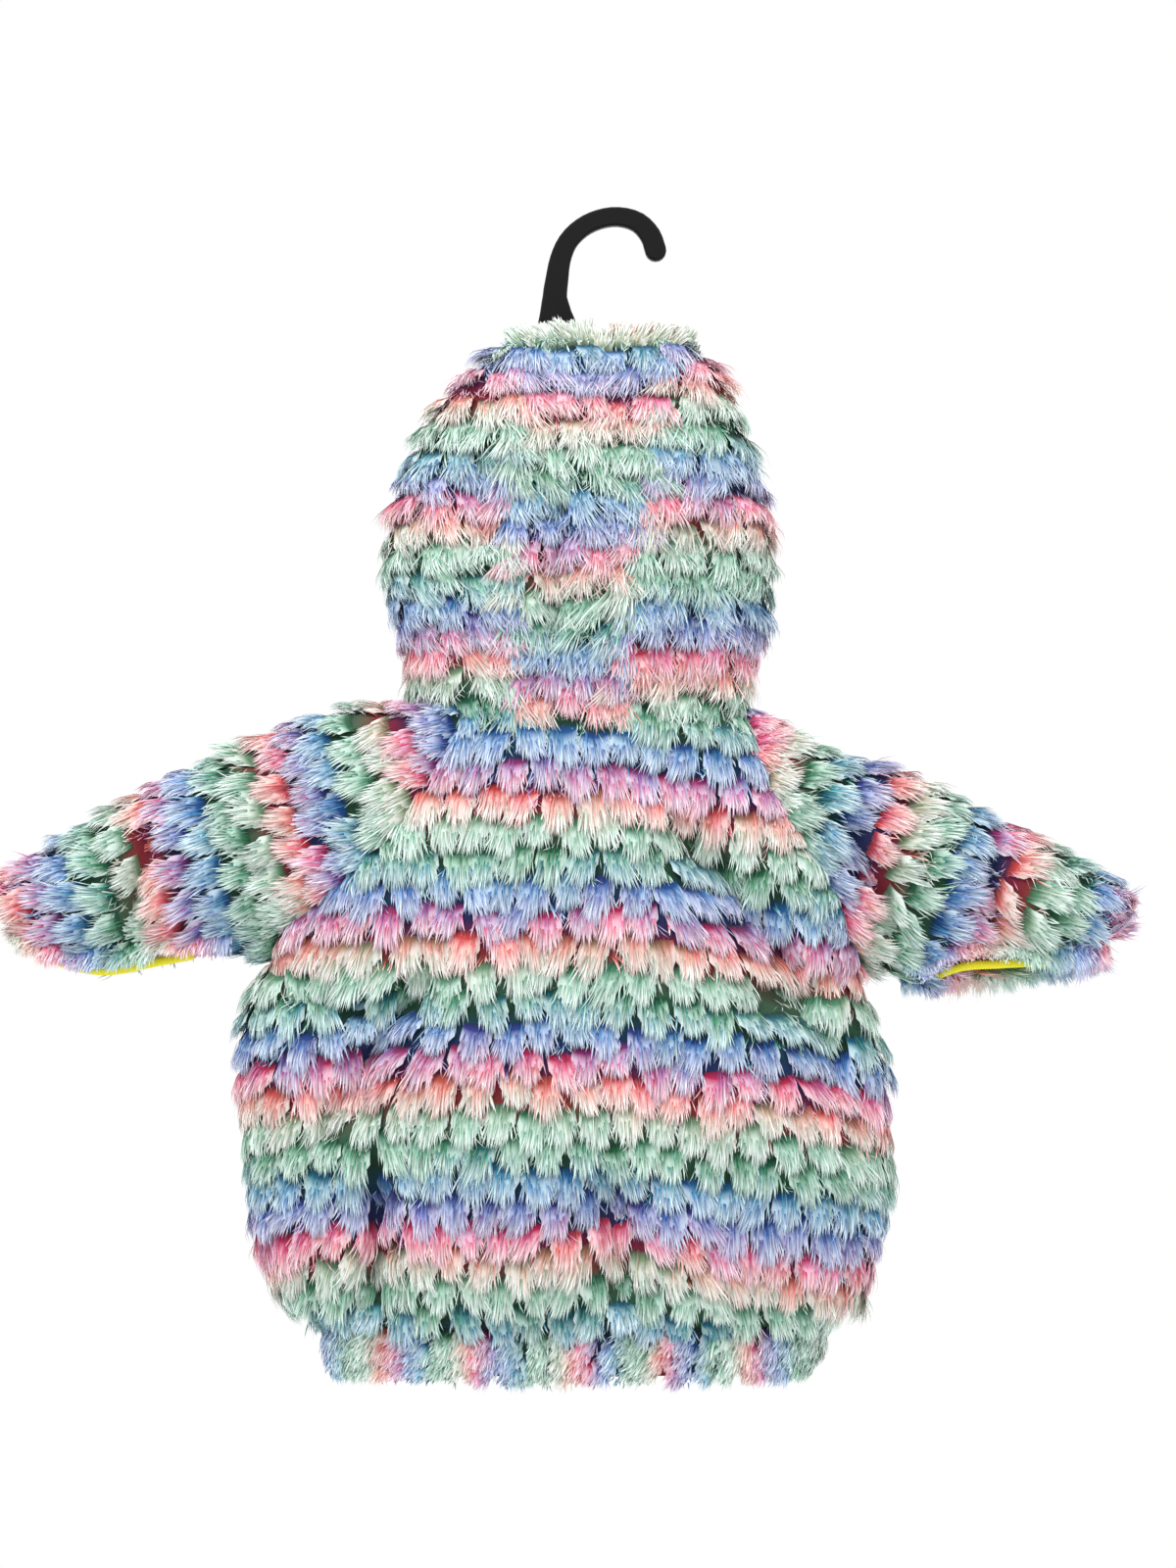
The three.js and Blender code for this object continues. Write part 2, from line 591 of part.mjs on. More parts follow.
function hoodCentrePanel() {
  const top = HOOD[0].z;
  const bottom = NECK_Z + HALF_SEAM;
  return clothWall({
    skin: (u, v, inset) => {
      const z = THREE.MathUtils.lerp(top, bottom, v);
      const left = hoodAngle(hoodSeamX(-1, z) + RAGLAN_SHIFT, z);
      const right = hoodAngle(hoodSeamX(1, z) - RAGLAN_SHIFT, z);
      return hoodPoint(THREE.MathUtils.lerp(left, right, u), z, inset);
    },
    rows: napSteps(top - bottom),
    columns: evenSteps(HOOD_CENTRE_GRID.columns),
    insideRows: napSteps(top - bottom),
    insideColumns: evenSteps(HOOD_CENTRE_GRID.insideColumns),
  });
}

function hoodSidePanel(side) {
  const top = HOOD[0].z;
  const bottom = NECK_Z + HALF_SEAM;
  return clothWall({
    skin: (u, v, inset) => {
      const z = THREE.MathUtils.lerp(top, bottom, v);
      const seam = hoodAngle(hoodSeamX(side, z) + side * RAGLAN_SHIFT, z);
      return hoodPoint(THREE.MathUtils.lerp(seam, hoodFaceAngle(side, z), u), z, inset);
    },
    rows: napSteps(top - bottom),
    columns: evenSteps(HOOD_SIDE_GRID.columns),
    insideRows: napSteps(top - bottom),
    insideColumns: evenSteps(HOOD_SIDE_GRID.insideColumns),
  });
}

function hemBand() {
  const top = HEM[0].z - HALF_SEAM;
  const bottom = HEM[HEM.length - 1].z;
  const gapAngle = HALF_SEAM / HEM[0].depth;
  const start = -Math.PI / 2 + gapAngle;
  const end = 1.5 * Math.PI - gapAngle;
  return clothWall({
    skin: (u, v, inset) => {
      const angle = THREE.MathUtils.lerp(start, end, u);
      const wave = HEM_WAVE * Math.abs(Math.cos(Math.PI * HEM_RIBS * u)) * v;
      return hemPoint(angle, THREE.MathUtils.lerp(top, bottom, v) + wave, inset);
    },
    lining: (u, v, inset) => {
      const angle = THREE.MathUtils.lerp(start, end, u);
      return hemPoint(angle, THREE.MathUtils.lerp(top, bottom + HEM_WAVE, v), inset);
    },
    rows: evenSteps(HEM_GRID.rows),
    columns: ribSteps(HEM_RIBS),
    insideRows: evenSteps(HEM_GRID.insideRows),
    insideColumns: evenSteps(HEM_GRID.insideColumns),
  });
}

// A strip of tape: an oval section carried along a route, with flat ends
function tapeStrip(route, height, thickness) {
  const points = [];
  const faces = [];
  const sides = TAPE_SIDES;
  for (const centre of route) {
    for (let k = 0; k < sides; k += 1) {
      const angle = ((k + 0.5) * 2 * Math.PI) / sides;
      const y = centre.y + (thickness / 2) * Math.cos(angle);
      points.push(new THREE.Vector3(centre.x, y, centre.z + (height / 2) * Math.sin(angle)));
    }
  }
  for (let i = 0; i < route.length - 1; i += 1) {
    for (let k = 0; k < sides; k += 1) {
      const a = i * sides + k;
      const b = i * sides + ((k + 1) % sides);
      faces.push([a, b, b + sides], [a, b + sides, a + sides]);
    }
  }
  const last = (route.length - 1) * sides;
  for (let k = 1; k < sides - 1; k += 1) {
    faces.push([0, k + 1, k], [last, last + k, last + k + 1]);
  }
  return closedGeometry(points, faces);
}

// The tape under the back edge of a hand slit, and the one on the inner side of its front edge
function slitTape(wing, face) {
  const margin = face < 0 ? TAPE_MARGIN.back : TAPE_MARGIN.front;
  const route = [];
  for (let i = 0; i <= TAPE_STEPS; i += 1) {
    const s = THREE.MathUtils.lerp(SLIT.start + margin, SLIT.end - margin, i / TAPE_STEPS);
    const outer = wingPoint(wing, face, s, 0, 1);
    const inner = wingPoint(wing, face, s, WALL, 1);
    if (face < 0) {
      route.push(new THREE.Vector3(outer.x, outer.y - 1, outer.z - TAPE_HEIGHT / 2 - 2 * HALF_SEAM));
    } else {
      const middle = outer.clone().add(inner).multiplyScalar(0.5);
      const y = Math.min(outer.y, inner.y) - TAPE_THICKNESS / 2 - TAPE_CLEAR;
      const lift = FRONT_TAPE_LIFT * wing.slitLift * slitShare(s);
      route.push(new THREE.Vector3(middle.x, y, middle.z + lift));
    }
  }
  return tapeStrip(route, TAPE_HEIGHT, TAPE_THICKNESS);
}

// A flat plate in the XZ plane, from its outline, with rounded edges
function plate(outline) {
  const shape = new THREE.Shape(outline.map((p) => new THREE.Vector2(p.x, p.z)));
  const geometry = new THREE.ExtrudeGeometry(shape, {
    depth: PLATE - 2 * EDGE_ROUND,
    bevelEnabled: true,
    bevelThickness: EDGE_ROUND,
    bevelSize: EDGE_ROUND,
    bevelOffset: -EDGE_ROUND,
    bevelSegments: 1,
  });
  geometry.rotateX(Math.PI / 2);
  geometry.translate(0, PLATE / 2 - EDGE_ROUND, 0);
  geometry.deleteAttribute("normal");
  geometry.deleteAttribute("uv");
  return BufferGeometryUtils.mergeVertices(geometry, 1e-4);
}

// The outline of a strip whose middle line and width are given, its last end round
function stripOutline(rows, stepsBetween, roundEnd) {
  const middles = rows.map((row) => new THREE.Vector3(row.x, 0, row.z));
  const curve = new THREE.CatmullRomCurve3(middles, false, "centripetal");
  const count = (rows.length - 1) * stepsBetween;
  const one = [];
  const other = [];
  for (let i = 0; i <= count; i += 1) {
    const t = i / count;
    const middle = curve.getPoint(t);
    const along = curve.getTangent(t);
    const row = Math.min(Math.floor(i / stepsBetween), rows.length - 2);
    const share = i / stepsBetween - row;
    const width = THREE.MathUtils.lerp(rows[row].width, rows[row + 1].width, share);
    const sideways = new THREE.Vector3(-along.z, 0, along.x).multiplyScalar(width / 2);
    one.push(middle.clone().add(sideways));
    other.push(middle.clone().sub(sideways));
  }
  const cap = [];
  if (roundEnd) {
    const middle = curve.getPoint(1);
    const radius = rows[rows.length - 1].width / 2;
    const along = curve.getTangent(1).multiplyScalar(radius);
    for (let k = 1; k < ROUND_STEPS; k += 1) {
      const angle = (Math.PI * k) / ROUND_STEPS;
      const sideways = new THREE.Vector3(-along.z, 0, along.x).multiplyScalar(Math.cos(angle));
      cap.push(middle.clone().add(sideways).add(along.clone().multiplyScalar(Math.sin(angle))));
    }
  }
  return one.concat(cap, other.reverse());
}

// The underside of a wing's top edge at a place across the garment
function ridgeUnder(wing, x) {
  let low = 0;
  let high = RIDGE_REACH;
  for (let i = 0; i < 30; i += 1) {
    const s = (low + high) / 2;
    if (wing.side * (wingPoint(wing, 1e-6, s, WALL, 1).x - x) < 0) {
      low = s;
    } else {
      high = s;
    }
  }
  return wingPoint(wing, 1e-6, low, WALL, 1).z;
}

function armOutline() {
  const neckHalf = BODY[0].half - WALL;
  const top = [];
  for (let x = ARM.left; x <= ARM.right + 0.01; x += ARM.step) {
    const wing = x < BODY[0].centre ? WINGS.left : WINGS.right;
    const outside = Math.abs(x - BODY[0].centre) > neckHalf;
    const ridge = outside ? ridgeUnder(wing, x) - ARM.seat : 0;
    top.push(new THREE.Vector3(x, 0, Math.min(ARM.top, ridge)));
  }
  const bottom = top.map((p) => new THREE.Vector3(p.x, 0, p.z - ARM.height));
  return top.concat(bottom.reverse());
}

function barOutline() {
  const radius = BAR.height / 2;
  const centreZ = BAR.top - radius;
  const ends = [
    { centreX: BAR.left + radius, start: Math.PI / 2 },
    { centreX: BAR.right - radius, start: 1.5 * Math.PI },
  ];
  const outline = [];
  for (const { centreX, start } of ends) {
    for (let k = 0; k <= ROUND_STEPS; k += 1) {
      const angle = start + (Math.PI * k) / ROUND_STEPS;
      const x = centreX + radius * Math.cos(angle);
      outline.push(new THREE.Vector3(x, 0, centreZ + radius * Math.sin(angle)));
    }
  }
  return outline;
}

function toManifold(geometry) {
  return new wasm.Manifold(new wasm.Mesh({
    numProp: 3,
    vertProperties: geometry.getAttribute("position").array,
    triVerts: new Uint32Array(geometry.getIndex().array),
  }));
}

function hangerGeometry() {
  const outlines = [
    stripOutline(HOOK, 3, true),
    stripOutline(STEM, 2, false),
    barOutline(),
    armOutline(),
  ];
  let solid = null;
  for (const outline of outlines) {
    const piece = toManifold(plate(outline));
    solid = solid ? solid.add(piece) : piece;
  }
  const mesh = solid.getMesh();
  const geometry = new THREE.BufferGeometry();
  geometry.setAttribute("position", new THREE.Float32BufferAttribute(mesh.vertProperties, 3));
  geometry.setIndex(Array.from(mesh.triVerts));
  geometry.computeVertexNormals();
  return geometry;
}

const costume = new THREE.Group();

function addPiece(name, geometry, color, roughness) {
  const material = new THREE.MeshStandardMaterial({ color, roughness, metalness: 0 });
  const piece = new THREE.Mesh(geometry, material);
  piece.name = name;
  costume.add(piece);
}

addPiece("body_back", bodyPanel(-1), COLOURS.body, 0.95);
addPiece("body_front", bodyPanel(1), COLOURS.body, 0.95);
addPiece("hem_band", hemBand(), COLOURS.hem, 0.95);
addPiece("hood_centre", hoodCentrePanel(), COLOURS.hoodCentre, 0.95);
addPiece("hood_left", hoodSidePanel(-1), COLOURS.hoodSide, 0.95);
addPiece("hood_right", hoodSidePanel(1), COLOURS.hoodSide, 0.95);
for (const [name, wing] of Object.entries(WINGS)) {
  addPiece(`wing_${name}`, wingSleeve(wing), COLOURS.wing, 0.95);
  addPiece(`slit_tape_${name}_back`, slitTape(wing, -1), COLOURS.tape, 0.8);
  addPiece(`slit_tape_${name}_front`, slitTape(wing, 1), COLOURS.tape, 0.8);
}
addPiece("hanger", hangerGeometry(), COLOURS.plastic, 0.45);

export default costume;
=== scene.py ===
import math
from functools import cache

import bpy
import numpy as np
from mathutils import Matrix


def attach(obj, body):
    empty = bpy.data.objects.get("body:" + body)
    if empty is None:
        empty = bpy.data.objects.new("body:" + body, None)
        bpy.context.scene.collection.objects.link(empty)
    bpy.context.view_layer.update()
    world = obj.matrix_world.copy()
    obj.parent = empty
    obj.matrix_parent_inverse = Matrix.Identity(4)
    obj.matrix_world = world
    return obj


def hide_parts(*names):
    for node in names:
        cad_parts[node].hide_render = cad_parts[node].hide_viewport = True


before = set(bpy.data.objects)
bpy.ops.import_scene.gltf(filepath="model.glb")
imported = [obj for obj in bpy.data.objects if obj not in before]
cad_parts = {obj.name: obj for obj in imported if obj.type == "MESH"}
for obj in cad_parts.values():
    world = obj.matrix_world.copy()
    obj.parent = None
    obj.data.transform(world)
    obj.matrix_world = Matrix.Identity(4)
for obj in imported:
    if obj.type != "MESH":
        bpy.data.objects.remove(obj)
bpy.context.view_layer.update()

# A toddler's plush pullover with hood and wings, on a moulded hanger.
# Sizes are millimetres in the part's own frame, and MM turns them into metres.
# The garment's back faces -Y, and "left" is the side towards -X.
MM = 0.001
SEED = 20


def table(columns, rows):
    """A short table: each named column as an array."""
    return dict(zip(columns, np.array(rows, float).T))


# Form of the garment
HALF_SEAM = 0.15
RAGLAN_SHIFT = 0.5
RAGLAN_CHORDS = 8
RAGLAN_CURVE = 1.4  # the raglan seam's height falls quickly at first and then more slowly
EDGE_PULL = 6  # how closely the pull of the seam's chords keeps to the panel's edge, as a power
ARMPIT_RISE = 0.7
NECK_Z = -246
HEM_SEAM_Z = -558
ARMPIT_Z = -372
BODY = table(("z", "left", "right", "centre", "half", "depth"), [
    (-246, -77.5, 64.5, -20.3, 88.3, 34),
    (-281, -94, 76, -22, 116, 39),
    (-305, -115.5, 92, -24, 136, 42),
    (-337, -147, 113, -26, 150, 45),
    (-357, -174, 120, -27, 152, 47),
    (-372, -179.5, 124.5, -27.5, 152, 48),
    (-385, -186.5, 125.5, -30.5, 156, 49),
    (-405, -194, 133, -30.5, 163.5, 51),
    (-430, -195.5, 139.5, -28, 167.5, 53),
    (-460, -193, 140, -26.5, 166.5, 54),
    (-485, -190.5, 141, -24.8, 165.8, 54),
    (-510, -188, 137, -25.5, 162.5, 53),
    (-530, -181, 131.5, -24.8, 156.3, 50),
    (-545, -171.5, 125, -23.3, 148.3, 45),
    (-558, -150, 109, -20.5, 129.5, 35),
])
HEM = table(("z", "left", "right", "depth"), [
    (-558, -150, 109, 35),
    (-566, -151, 108, 35),
    (-576, -149, 103, 34),
    (-587.5, -139, 96, 33),
])
HEM_GATHERS = 10
GATHER_DEPTH = 3
GATHER_RISE = 55
HEM_RIBS = 60
HOOD = table(("z", "left", "right", "depth", "seamLeft", "seamRight", "face", "square"), [
    (-53.5, -52.5, 35, 13.8, -45, 28, 30, 0.5),
    (-59, -58.5, 38.5, 18.5, -50, 29, 33, 0.58),
    (-66, -67.5, 45, 21.5, -52.5, 28.5, 37, 0.68),
    (-76, -80, 54, 26.5, -53, 26.5, 42, 0.8),
    (-86, -90, 60.5, 31, -53, 24, 47, 0.9),
    (-100, -100, 65, 36, -53.5, 21.5, 52, 1),
    (-120, -109, 71, 41, -55, 18.5, 57, 1),
    (-150, -119.5, 78.5, 45, -55, 12, 60, 1),
    (-180, -120, 79.5, 46, -53.5, 7.5, 56, 1),
    (-205, -115, 76.5, 43, -53, 4, 46, 1),
    (-225, -110, 70.5, 38, -53.5, 2.5, 28, 1),
    (-246, -108.6, 68, 34, -54.5, 2, 5, 1),
])
FACE_CENTRE_X = -20
WING_COLUMNS = ("at", "topX", "topZ", "lowX", "lowZ", "depth")
WINGS = {
    "left": {"side": -1, "slit_lift": 3.5, "stations": table(WING_COLUMNS, [
        (0, -108.6, -246.15, -179.5, -371.7, 36),
        (1, -143, -246.5, -206, -368, 35),
        (2, -190.5, -263, -230, -374, 33),
        (3, -235.5, -284.5, -260, -380.5, 30),
        (4, -275, -306, -285, -375, 26),
        (5, -304, -324, -305, -361, 18),
        (6, -318.5, -338.5, -318.5, -338.5, 0),
    ])},
    "right": {"side": 1, "slit_lift": 21, "stations": table(WING_COLUMNS, [
        (0, 68, -246.15, 124.5, -371.7, 36),
        (1, 99.5, -263.5, 150.5, -382, 35),
        (2, 136, -274.5, 172, -390, 33),
        (3, 170, -290.5, 194, -394.5, 30),
        (4, 206, -308, 222, -388, 26),
        (5, 240, -324, 242.5, -370, 18),
        (6, 260, -342.5, 260, -342.5, 0),
    ])},
}
STATIONS = 6
NECK_SHARE = 0.2  # the share of a wing's seam that runs along the neck
SEAM_FADE = 0.35  # how far along a wing its seam's shape still shows
TIP_TAPER = 6  # a wall thins to nothing over the last sixth of a wing
POUCH_ROUND = 0.7  # how full the ends of a hand slit are, as a power
SLIT = {"start": 0.22, "end": 0.8, "back_gap": 2, "front_gap": 9, "front_share": 0.5}

# The folds, as troughs (or ridges, where depth is below 0) pressed into the cloth
FOLD_COLUMNS = ("x1", "z1", "x2", "z2", "width", "depth")
BACK_FOLDS = table(FOLD_COLUMNS, [
    (24, -296, 84, -372, 15, 4),
    (76, -352, 112, -440, 14, 4.5),
    (-92, -372, -150, -462, 14, 4),
    (-119, -470, -121, -556, 12, 4.5),
    (108, -378, 60, -392, 12, 3),
    (-165, -382, -120, -400, 12, 3),
    (-6, -470, 4, -550, 16, 3),
])
FRONT_FOLDS = table(FOLD_COLUMNS, [
    (-70, -300, -130, -380, 15, 4),
    (20, -300, 78, -390, 14, 4),
    (-30, -420, -60, -540, 15, 3.5),
    (60, -440, 74, -550, 13, 4),
])
HOOD_FOLDS = table(FOLD_COLUMNS, [
    (-71, -112, -66, -172, 10, 4),
    (-30, -118, -31, -215, 9, 4),
    (-100, -214, -62, -243, 9, -2.5),
    (34, -150, 40, -215, 12, 2.5),
])
WING_FOLDS = table(FOLD_COLUMNS, [
    (-150, -292, -172, -350, 13, 3.5),
    (-232, -300, -246, -368, 14, 2.5),
    (112, -300, 140, -368, 13, 3.5),
    (180, -312, 192, -376, 14, 2.5),
])

FOLD_SCALE = 3.0  # the visible cloth is pressed in deeper than the solids
FOLD_ENDS = (-0.1, 0.25, 0.75, 1.1)  # where a fold begins, is full, begins to fade and is gone
CREASE = 0.6  # the crease's depth as a share of its fold's
CREASE_WIDTH = 0.45  # and its width
HOOD_FOLD_SHARE = 0.5  # the hood's folds are shallower
# How far from the seams the folds reach their full depth, along z or as shares of a wing
SEAM_CLEAR = 20
HOOD_CLEAR = 14
WING_CLEAR = (0.04, 0.2, 0.7, 0.9)
MAX_PRESS = 0.5  # no fold takes more than this share of a wing's depth

# Pile, whose tufts stand in rows
ROOT_INSET = 6.0  # the backing's outer side, under the tips of the pile
BACKING = 1.8  # the backing's thickness
ROW_PITCH = 14.25
TUFT_WIDTH = 16.0
HOOD_PITCH = 12.5  # the hood's pile is matted, in smaller tufts
HOOD_TUFT = 14.0
HOOD_SHOW = 7.0
FIRST_ROW = {"body": 243.5, "hood": 64.0}  # where one row of tufts lies along the nap
LAST_ROW_Z = -552  # no tuft of the body is rooted lower than this
EDGE_GAP = 0.35  # how much of a tuft's width may stay bare at the end of a row
EDGE_CLEAR = 1.0  # no tuft of the even rows is rooted nearer to a panel's edge
EDGE_ROOT = 0.8  # how far from the edge the tuft that fills a bare end is rooted
SEAM_PITCH = 10.0  # from one tuft to the next along a seam
CREST_PITCH = 7.0
ROW_GRID = (161, 121)  # how finely a panel is searched for a row, across and along
# Where the colours of root, middle and tip meet along the pile
ROOT_END = 0.26
MIDDLE = 0.42
TIP_START = 0.6
# The stretch over which the pile's painted shade lifts, as it comes out of the dark between the tufts
SHADE_START = 0.02
SHADE_END = 0.46
ROOT_PAINTED_SHADE = 0.16  # how dark the painted shade makes the pile at its very roots, where little light comes
BACKING_SHADE = 0.22  # painted shade of the same kind for the cloth between the roots
INSIDE_SHADE = 0.9  # the cloth's inner side

# Where pink lies along the nap on each piece, and pink's own place in the repeat
PINK = 0.5
NAP_SHOW = 13.0  # how far down the nap a tuft shows, from its root
BODY_PINKS = (-291, -361, -431, -513.5)
HOOD_PINKS = {
    "centre": (-94.5, -172, -240),
    "left": (-87, -146, -216),
    "right": (-75.5, -147.5, -221),
}
# How much lower the body's stripes hang towards its sides
STRIPE_DROP = table(("x", "drop"), [
    (-190, 12),
    (-165, 8),
    (-140, 4),
    (-105, 1),
    (0, 0),
    (20, 4),
    (45, 9),
    (75, 13),
    (95, 17),
    (115, 22),
    (140, 25),
])
# The way of each wing's nap, and its fringe's length at the slit's inner end, middle and outer end
WING_AXES = {
    "left": {
        "x": -0.964, "z": -0.266, "start_x": -144, "start_z": -309, "pinks": (-43, 20, 91, 165.5),
        "back_fringe": (13, 13, 12), "front_fringe": (8, 8, 8),
    },
    "right": {
        "x": 0.95, "z": -0.31, "start_x": 96.25, "start_z": -308.9, "pinks": (-29.5, 40, 105.5),
        "back_fringe": (8, 7.5, 16), "front_fringe": (15, 16, 15),
    },
}
HEM_PINKS = (-115, -72.5, -19, 22.5, 66)
HEM_SHOW = 4.0
HEM_PILE = 6.5  # how far the pile hangs below the band's own edge

# The dye's repeat: the colour at the root of the pile, half way up and at the tips
DYES = [
    {"at": 0.00, "root": "06683a", "middle": "459a72", "tip": "dcefe6"},
    {"at": 0.12, "root": "08729a", "middle": "4498b2", "tip": "d8ebf0"},
    {"at": 0.24, "root": "0d52aa", "middle": "4585c6", "tip": "d8e5f4"},
    {"at": 0.36, "root": "3c3896", "middle": "6f6fb6", "tip": "dfddf0"},
    {"at": 0.49, "root": "de1860", "middle": "e9689a", "tip": "f9e3eb"},
    {"at": 0.61, "root": "ee4a48", "middle": "f08a7c", "tip": "f9e9e4"},
    {"at": 0.72, "root": "9fb48c", "middle": "ced0bc", "tip": "f2f4f0"},
    {"at": 0.85, "root": "4a9f76", "middle": "95c8b0", "tip": "e8f5f0"},
    {"at": 1.00, "root": "06683a", "middle": "459a72", "tip": "dcefe6"},
]


def linear(hex_colour):
    """A colour written as hex, as linear red, green and blue."""
    value = np.array([int(hex_colour[i:i + 2], 16) for i in (0, 2, 4)]) / 255
    return np.where(value <= 0.04045, value / 12.92, ((value + 0.055) / 1.055) ** 2.4)


DYE_AT = np.array([dye["at"] for dye in DYES])
DYE = {part: np.array([linear(dye[part]) for dye in DYES]) for part in ("root", "middle", "tip")}


def dye_colour(part, phase):
    """The dye's colour at a place in its repeat, for root, middle or tip."""
    phase = np.mod(phase, 1.0)
    return np.stack([np.interp(phase, DYE_AT, DYE[part][:, k]) for k in range(3)], axis=-1)


def smoothstep(value, low, high):
    t = np.clip((value - low) / (high - low), 0, 1)
    return t * t * (3 - 2 * t)


def mix(a, b, t):
    return (1 - t) * a + t * b


def unit(vectors):
    return vectors / np.maximum(np.linalg.norm(vectors, axis=-1, keepdims=True), 1e-9)


def read(rows, column, at, key="z"):
    """Cubic curve through the rows of a table, read at values of its key column."""
    keys = rows[key]
    values = rows[column]
    at = np.asarray(at, float)
    if keys[1] < keys[0]:
        keys = -keys
        at = -at
    slopes = np.empty_like(keys)
    slopes[1:-1] = (values[2:] - values[:-2]) / (keys[2:] - keys[:-2])
    slopes[0] = (values[1] - values[0]) / (keys[1] - keys[0])
    slopes[-1] = (values[-1] - values[-2]) / (keys[-1] - keys[-2])
    i = np.clip(np.searchsorted(keys, at, side="right") - 1, 0, len(keys) - 2)
    width = keys[i + 1] - keys[i]
    t = np.clip((at - keys[i]) / width, 0, 1)
    t2 = t * t
    t3 = t2 * t
    start = (2 * t3 - 3 * t2 + 1) * values[i] + (t3 - 2 * t2 + t) * width * slopes[i]
    return start + (3 * t2 - 2 * t3) * values[i + 1] + (t3 - t2) * width * slopes[i + 1]


def fold_depth(folds, x, z):
    """How deep the folds press in at places seen from behind, with the sharp crease in each."""
    depth = np.zeros(np.shape(x))
    for x1, z1, x2, z2, width, fold in zip(*(folds[column] for column in FOLD_COLUMNS)):
        length = math.hypot(x2 - x1, z2 - z1)
        along = ((x - x1) * (x2 - x1) + (z - z1) * (z2 - z1)) / length ** 2
        across = ((x - x1) * (z2 - z1) - (z - z1) * (x2 - x1)) / length
        ends = smoothstep(along, *FOLD_ENDS[:2]) * (1 - smoothstep(along, *FOLD_ENDS[2:]))
        crease = CREASE * np.exp(-((across / (CREASE_WIDTH * width)) ** 2))
        depth = depth + FOLD_SCALE * fold * ends * (np.exp(-((across / width) ** 2)) + crease)
    return depth


def body_point(turn, z, face, inset):
    """Points of the body: turn runs from -1 at its left edge to 1 at its right."""
    turn, z = np.broadcast_arrays(np.asarray(turn, float), np.asarray(z, float))
    centre = read(BODY, "centre", z)
    half = read(BODY, "half", z)
    side = np.where(turn < 0, -1.0, 1.0)
    edge = np.where(turn < 0, read(BODY, "left", z), read(BODY, "right", z))
    sewn = z >= ARMPIT_Z
    reach = np.minimum(np.abs(edge - centre) / half, 1)
    edge_angle = np.where(sewn, np.arcsin(reach), math.pi / 2)
    angle = np.abs(turn) * edge_angle
    shift = np.where(sewn, RAGLAN_SHIFT, 0.0)
    share = np.sin(angle) / np.sin(edge_angle)
    x = centre + side * (np.abs(edge - centre) - shift - inset * np.sin(edge_angle)) * share
    rise = 1 - smoothstep(z - HEM_SEAM_Z, 0, GATHER_RISE)
    gather = GATHER_DEPTH * rise * 0.5 * (1 + np.cos(turn * math.pi * 0.5 * HEM_GATHERS))
    folds = BACK_FOLDS if face < 0 else FRONT_FOLDS
    clear = smoothstep(NECK_Z - z, 0, SEAM_CLEAR) * smoothstep(z - HEM_SEAM_Z, 0, SEAM_CLEAR)
    pressed = (fold_depth(folds, x, z) + gather) * clear
    depth = (read(BODY, "depth", z) - inset - HALF_SEAM - pressed) * np.cos(angle)
    return np.stack([x, face * (HALF_SEAM + depth), z], axis=-1)


def raglan_z(along):
    """Height on the raglan seam: along is 0 at the neck and 1 at the armpit."""
    return mix(NECK_Z - HALF_SEAM, ARMPIT_Z, 1 - (1 - along) ** RAGLAN_CURVE)


RAGLAN_ZS = raglan_z(np.arange(RAGLAN_CHORDS + 1) / RAGLAN_CHORDS)


def raglan_point(side, z, face, inset):
    """Points of a raglan seam, which runs in chords."""
    chord = np.clip(np.searchsorted(-RAGLAN_ZS, -z, side="right") - 1, 0, RAGLAN_CHORDS - 1)
    upper = RAGLAN_ZS[chord]
    lower = RAGLAN_ZS[chord + 1]
    start = body_point(side, upper, face, inset)
    end = body_point(side, lower, face, inset)
    t = np.clip((z - upper) / (lower - upper), 0, 1)[..., None]
    return mix(start, end, t)


def body_skin(turn, z, face, inset):
    """Points of the body, with its edge drawn onto the chords of the raglan seam."""
    point = body_point(turn, z, face, inset)
    side = np.where(turn < 0, -1.0, 1.0)
    seam_z = np.maximum(z, ARMPIT_Z)
    shift = raglan_point(side, seam_z, face, inset) - body_point(side, seam_z, face, inset)
    weight = np.where(z > ARMPIT_Z, np.abs(turn) ** EDGE_PULL, 0.0)[..., None]
    return point + shift * weight


def wing_seam_point(side, turn, face, inset):
    """Points where a wing is sewn on: turn is 0 at the shoulder and 1 at the armpit."""
    edge = BODY["left"][0] if side < 0 else BODY["right"][0]
    centre = BODY["centre"][0]
    half = BODY["half"][0]
    corner = math.asin(abs(edge - centre) / half)
    angle = mix(math.pi / 2, corner, np.clip(turn / NECK_SHARE, 0, 1))
    neckline = np.stack([
        centre + side * (half - inset) * np.sin(angle),
        face * (BODY["depth"][0] - inset) * np.cos(angle),
        np.full(np.shape(turn), NECK_Z - HALF_SEAM),
    ], axis=-1)
    along = np.clip((turn - NECK_SHARE) / (1 - NECK_SHARE), 0, 1)
    raglan = raglan_point(side, raglan_z(along), face, inset)
    raglan = raglan + np.stack([
        np.full(np.shape(turn), side * 2 * RAGLAN_SHIFT),
        np.zeros(np.shape(turn)),
        ARMPIT_RISE * along,
    ], axis=-1)
    return np.where((turn < NECK_SHARE)[..., None], neckline, raglan)


def slit_share(s):
    """How far the hand slit gapes along a wing, from 0 to 1."""
    t = np.clip((s - SLIT["start"]) / (SLIT["end"] - SLIT["start"]), 0, 1)
    return np.sin(math.pi * t) ** POUCH_ROUND


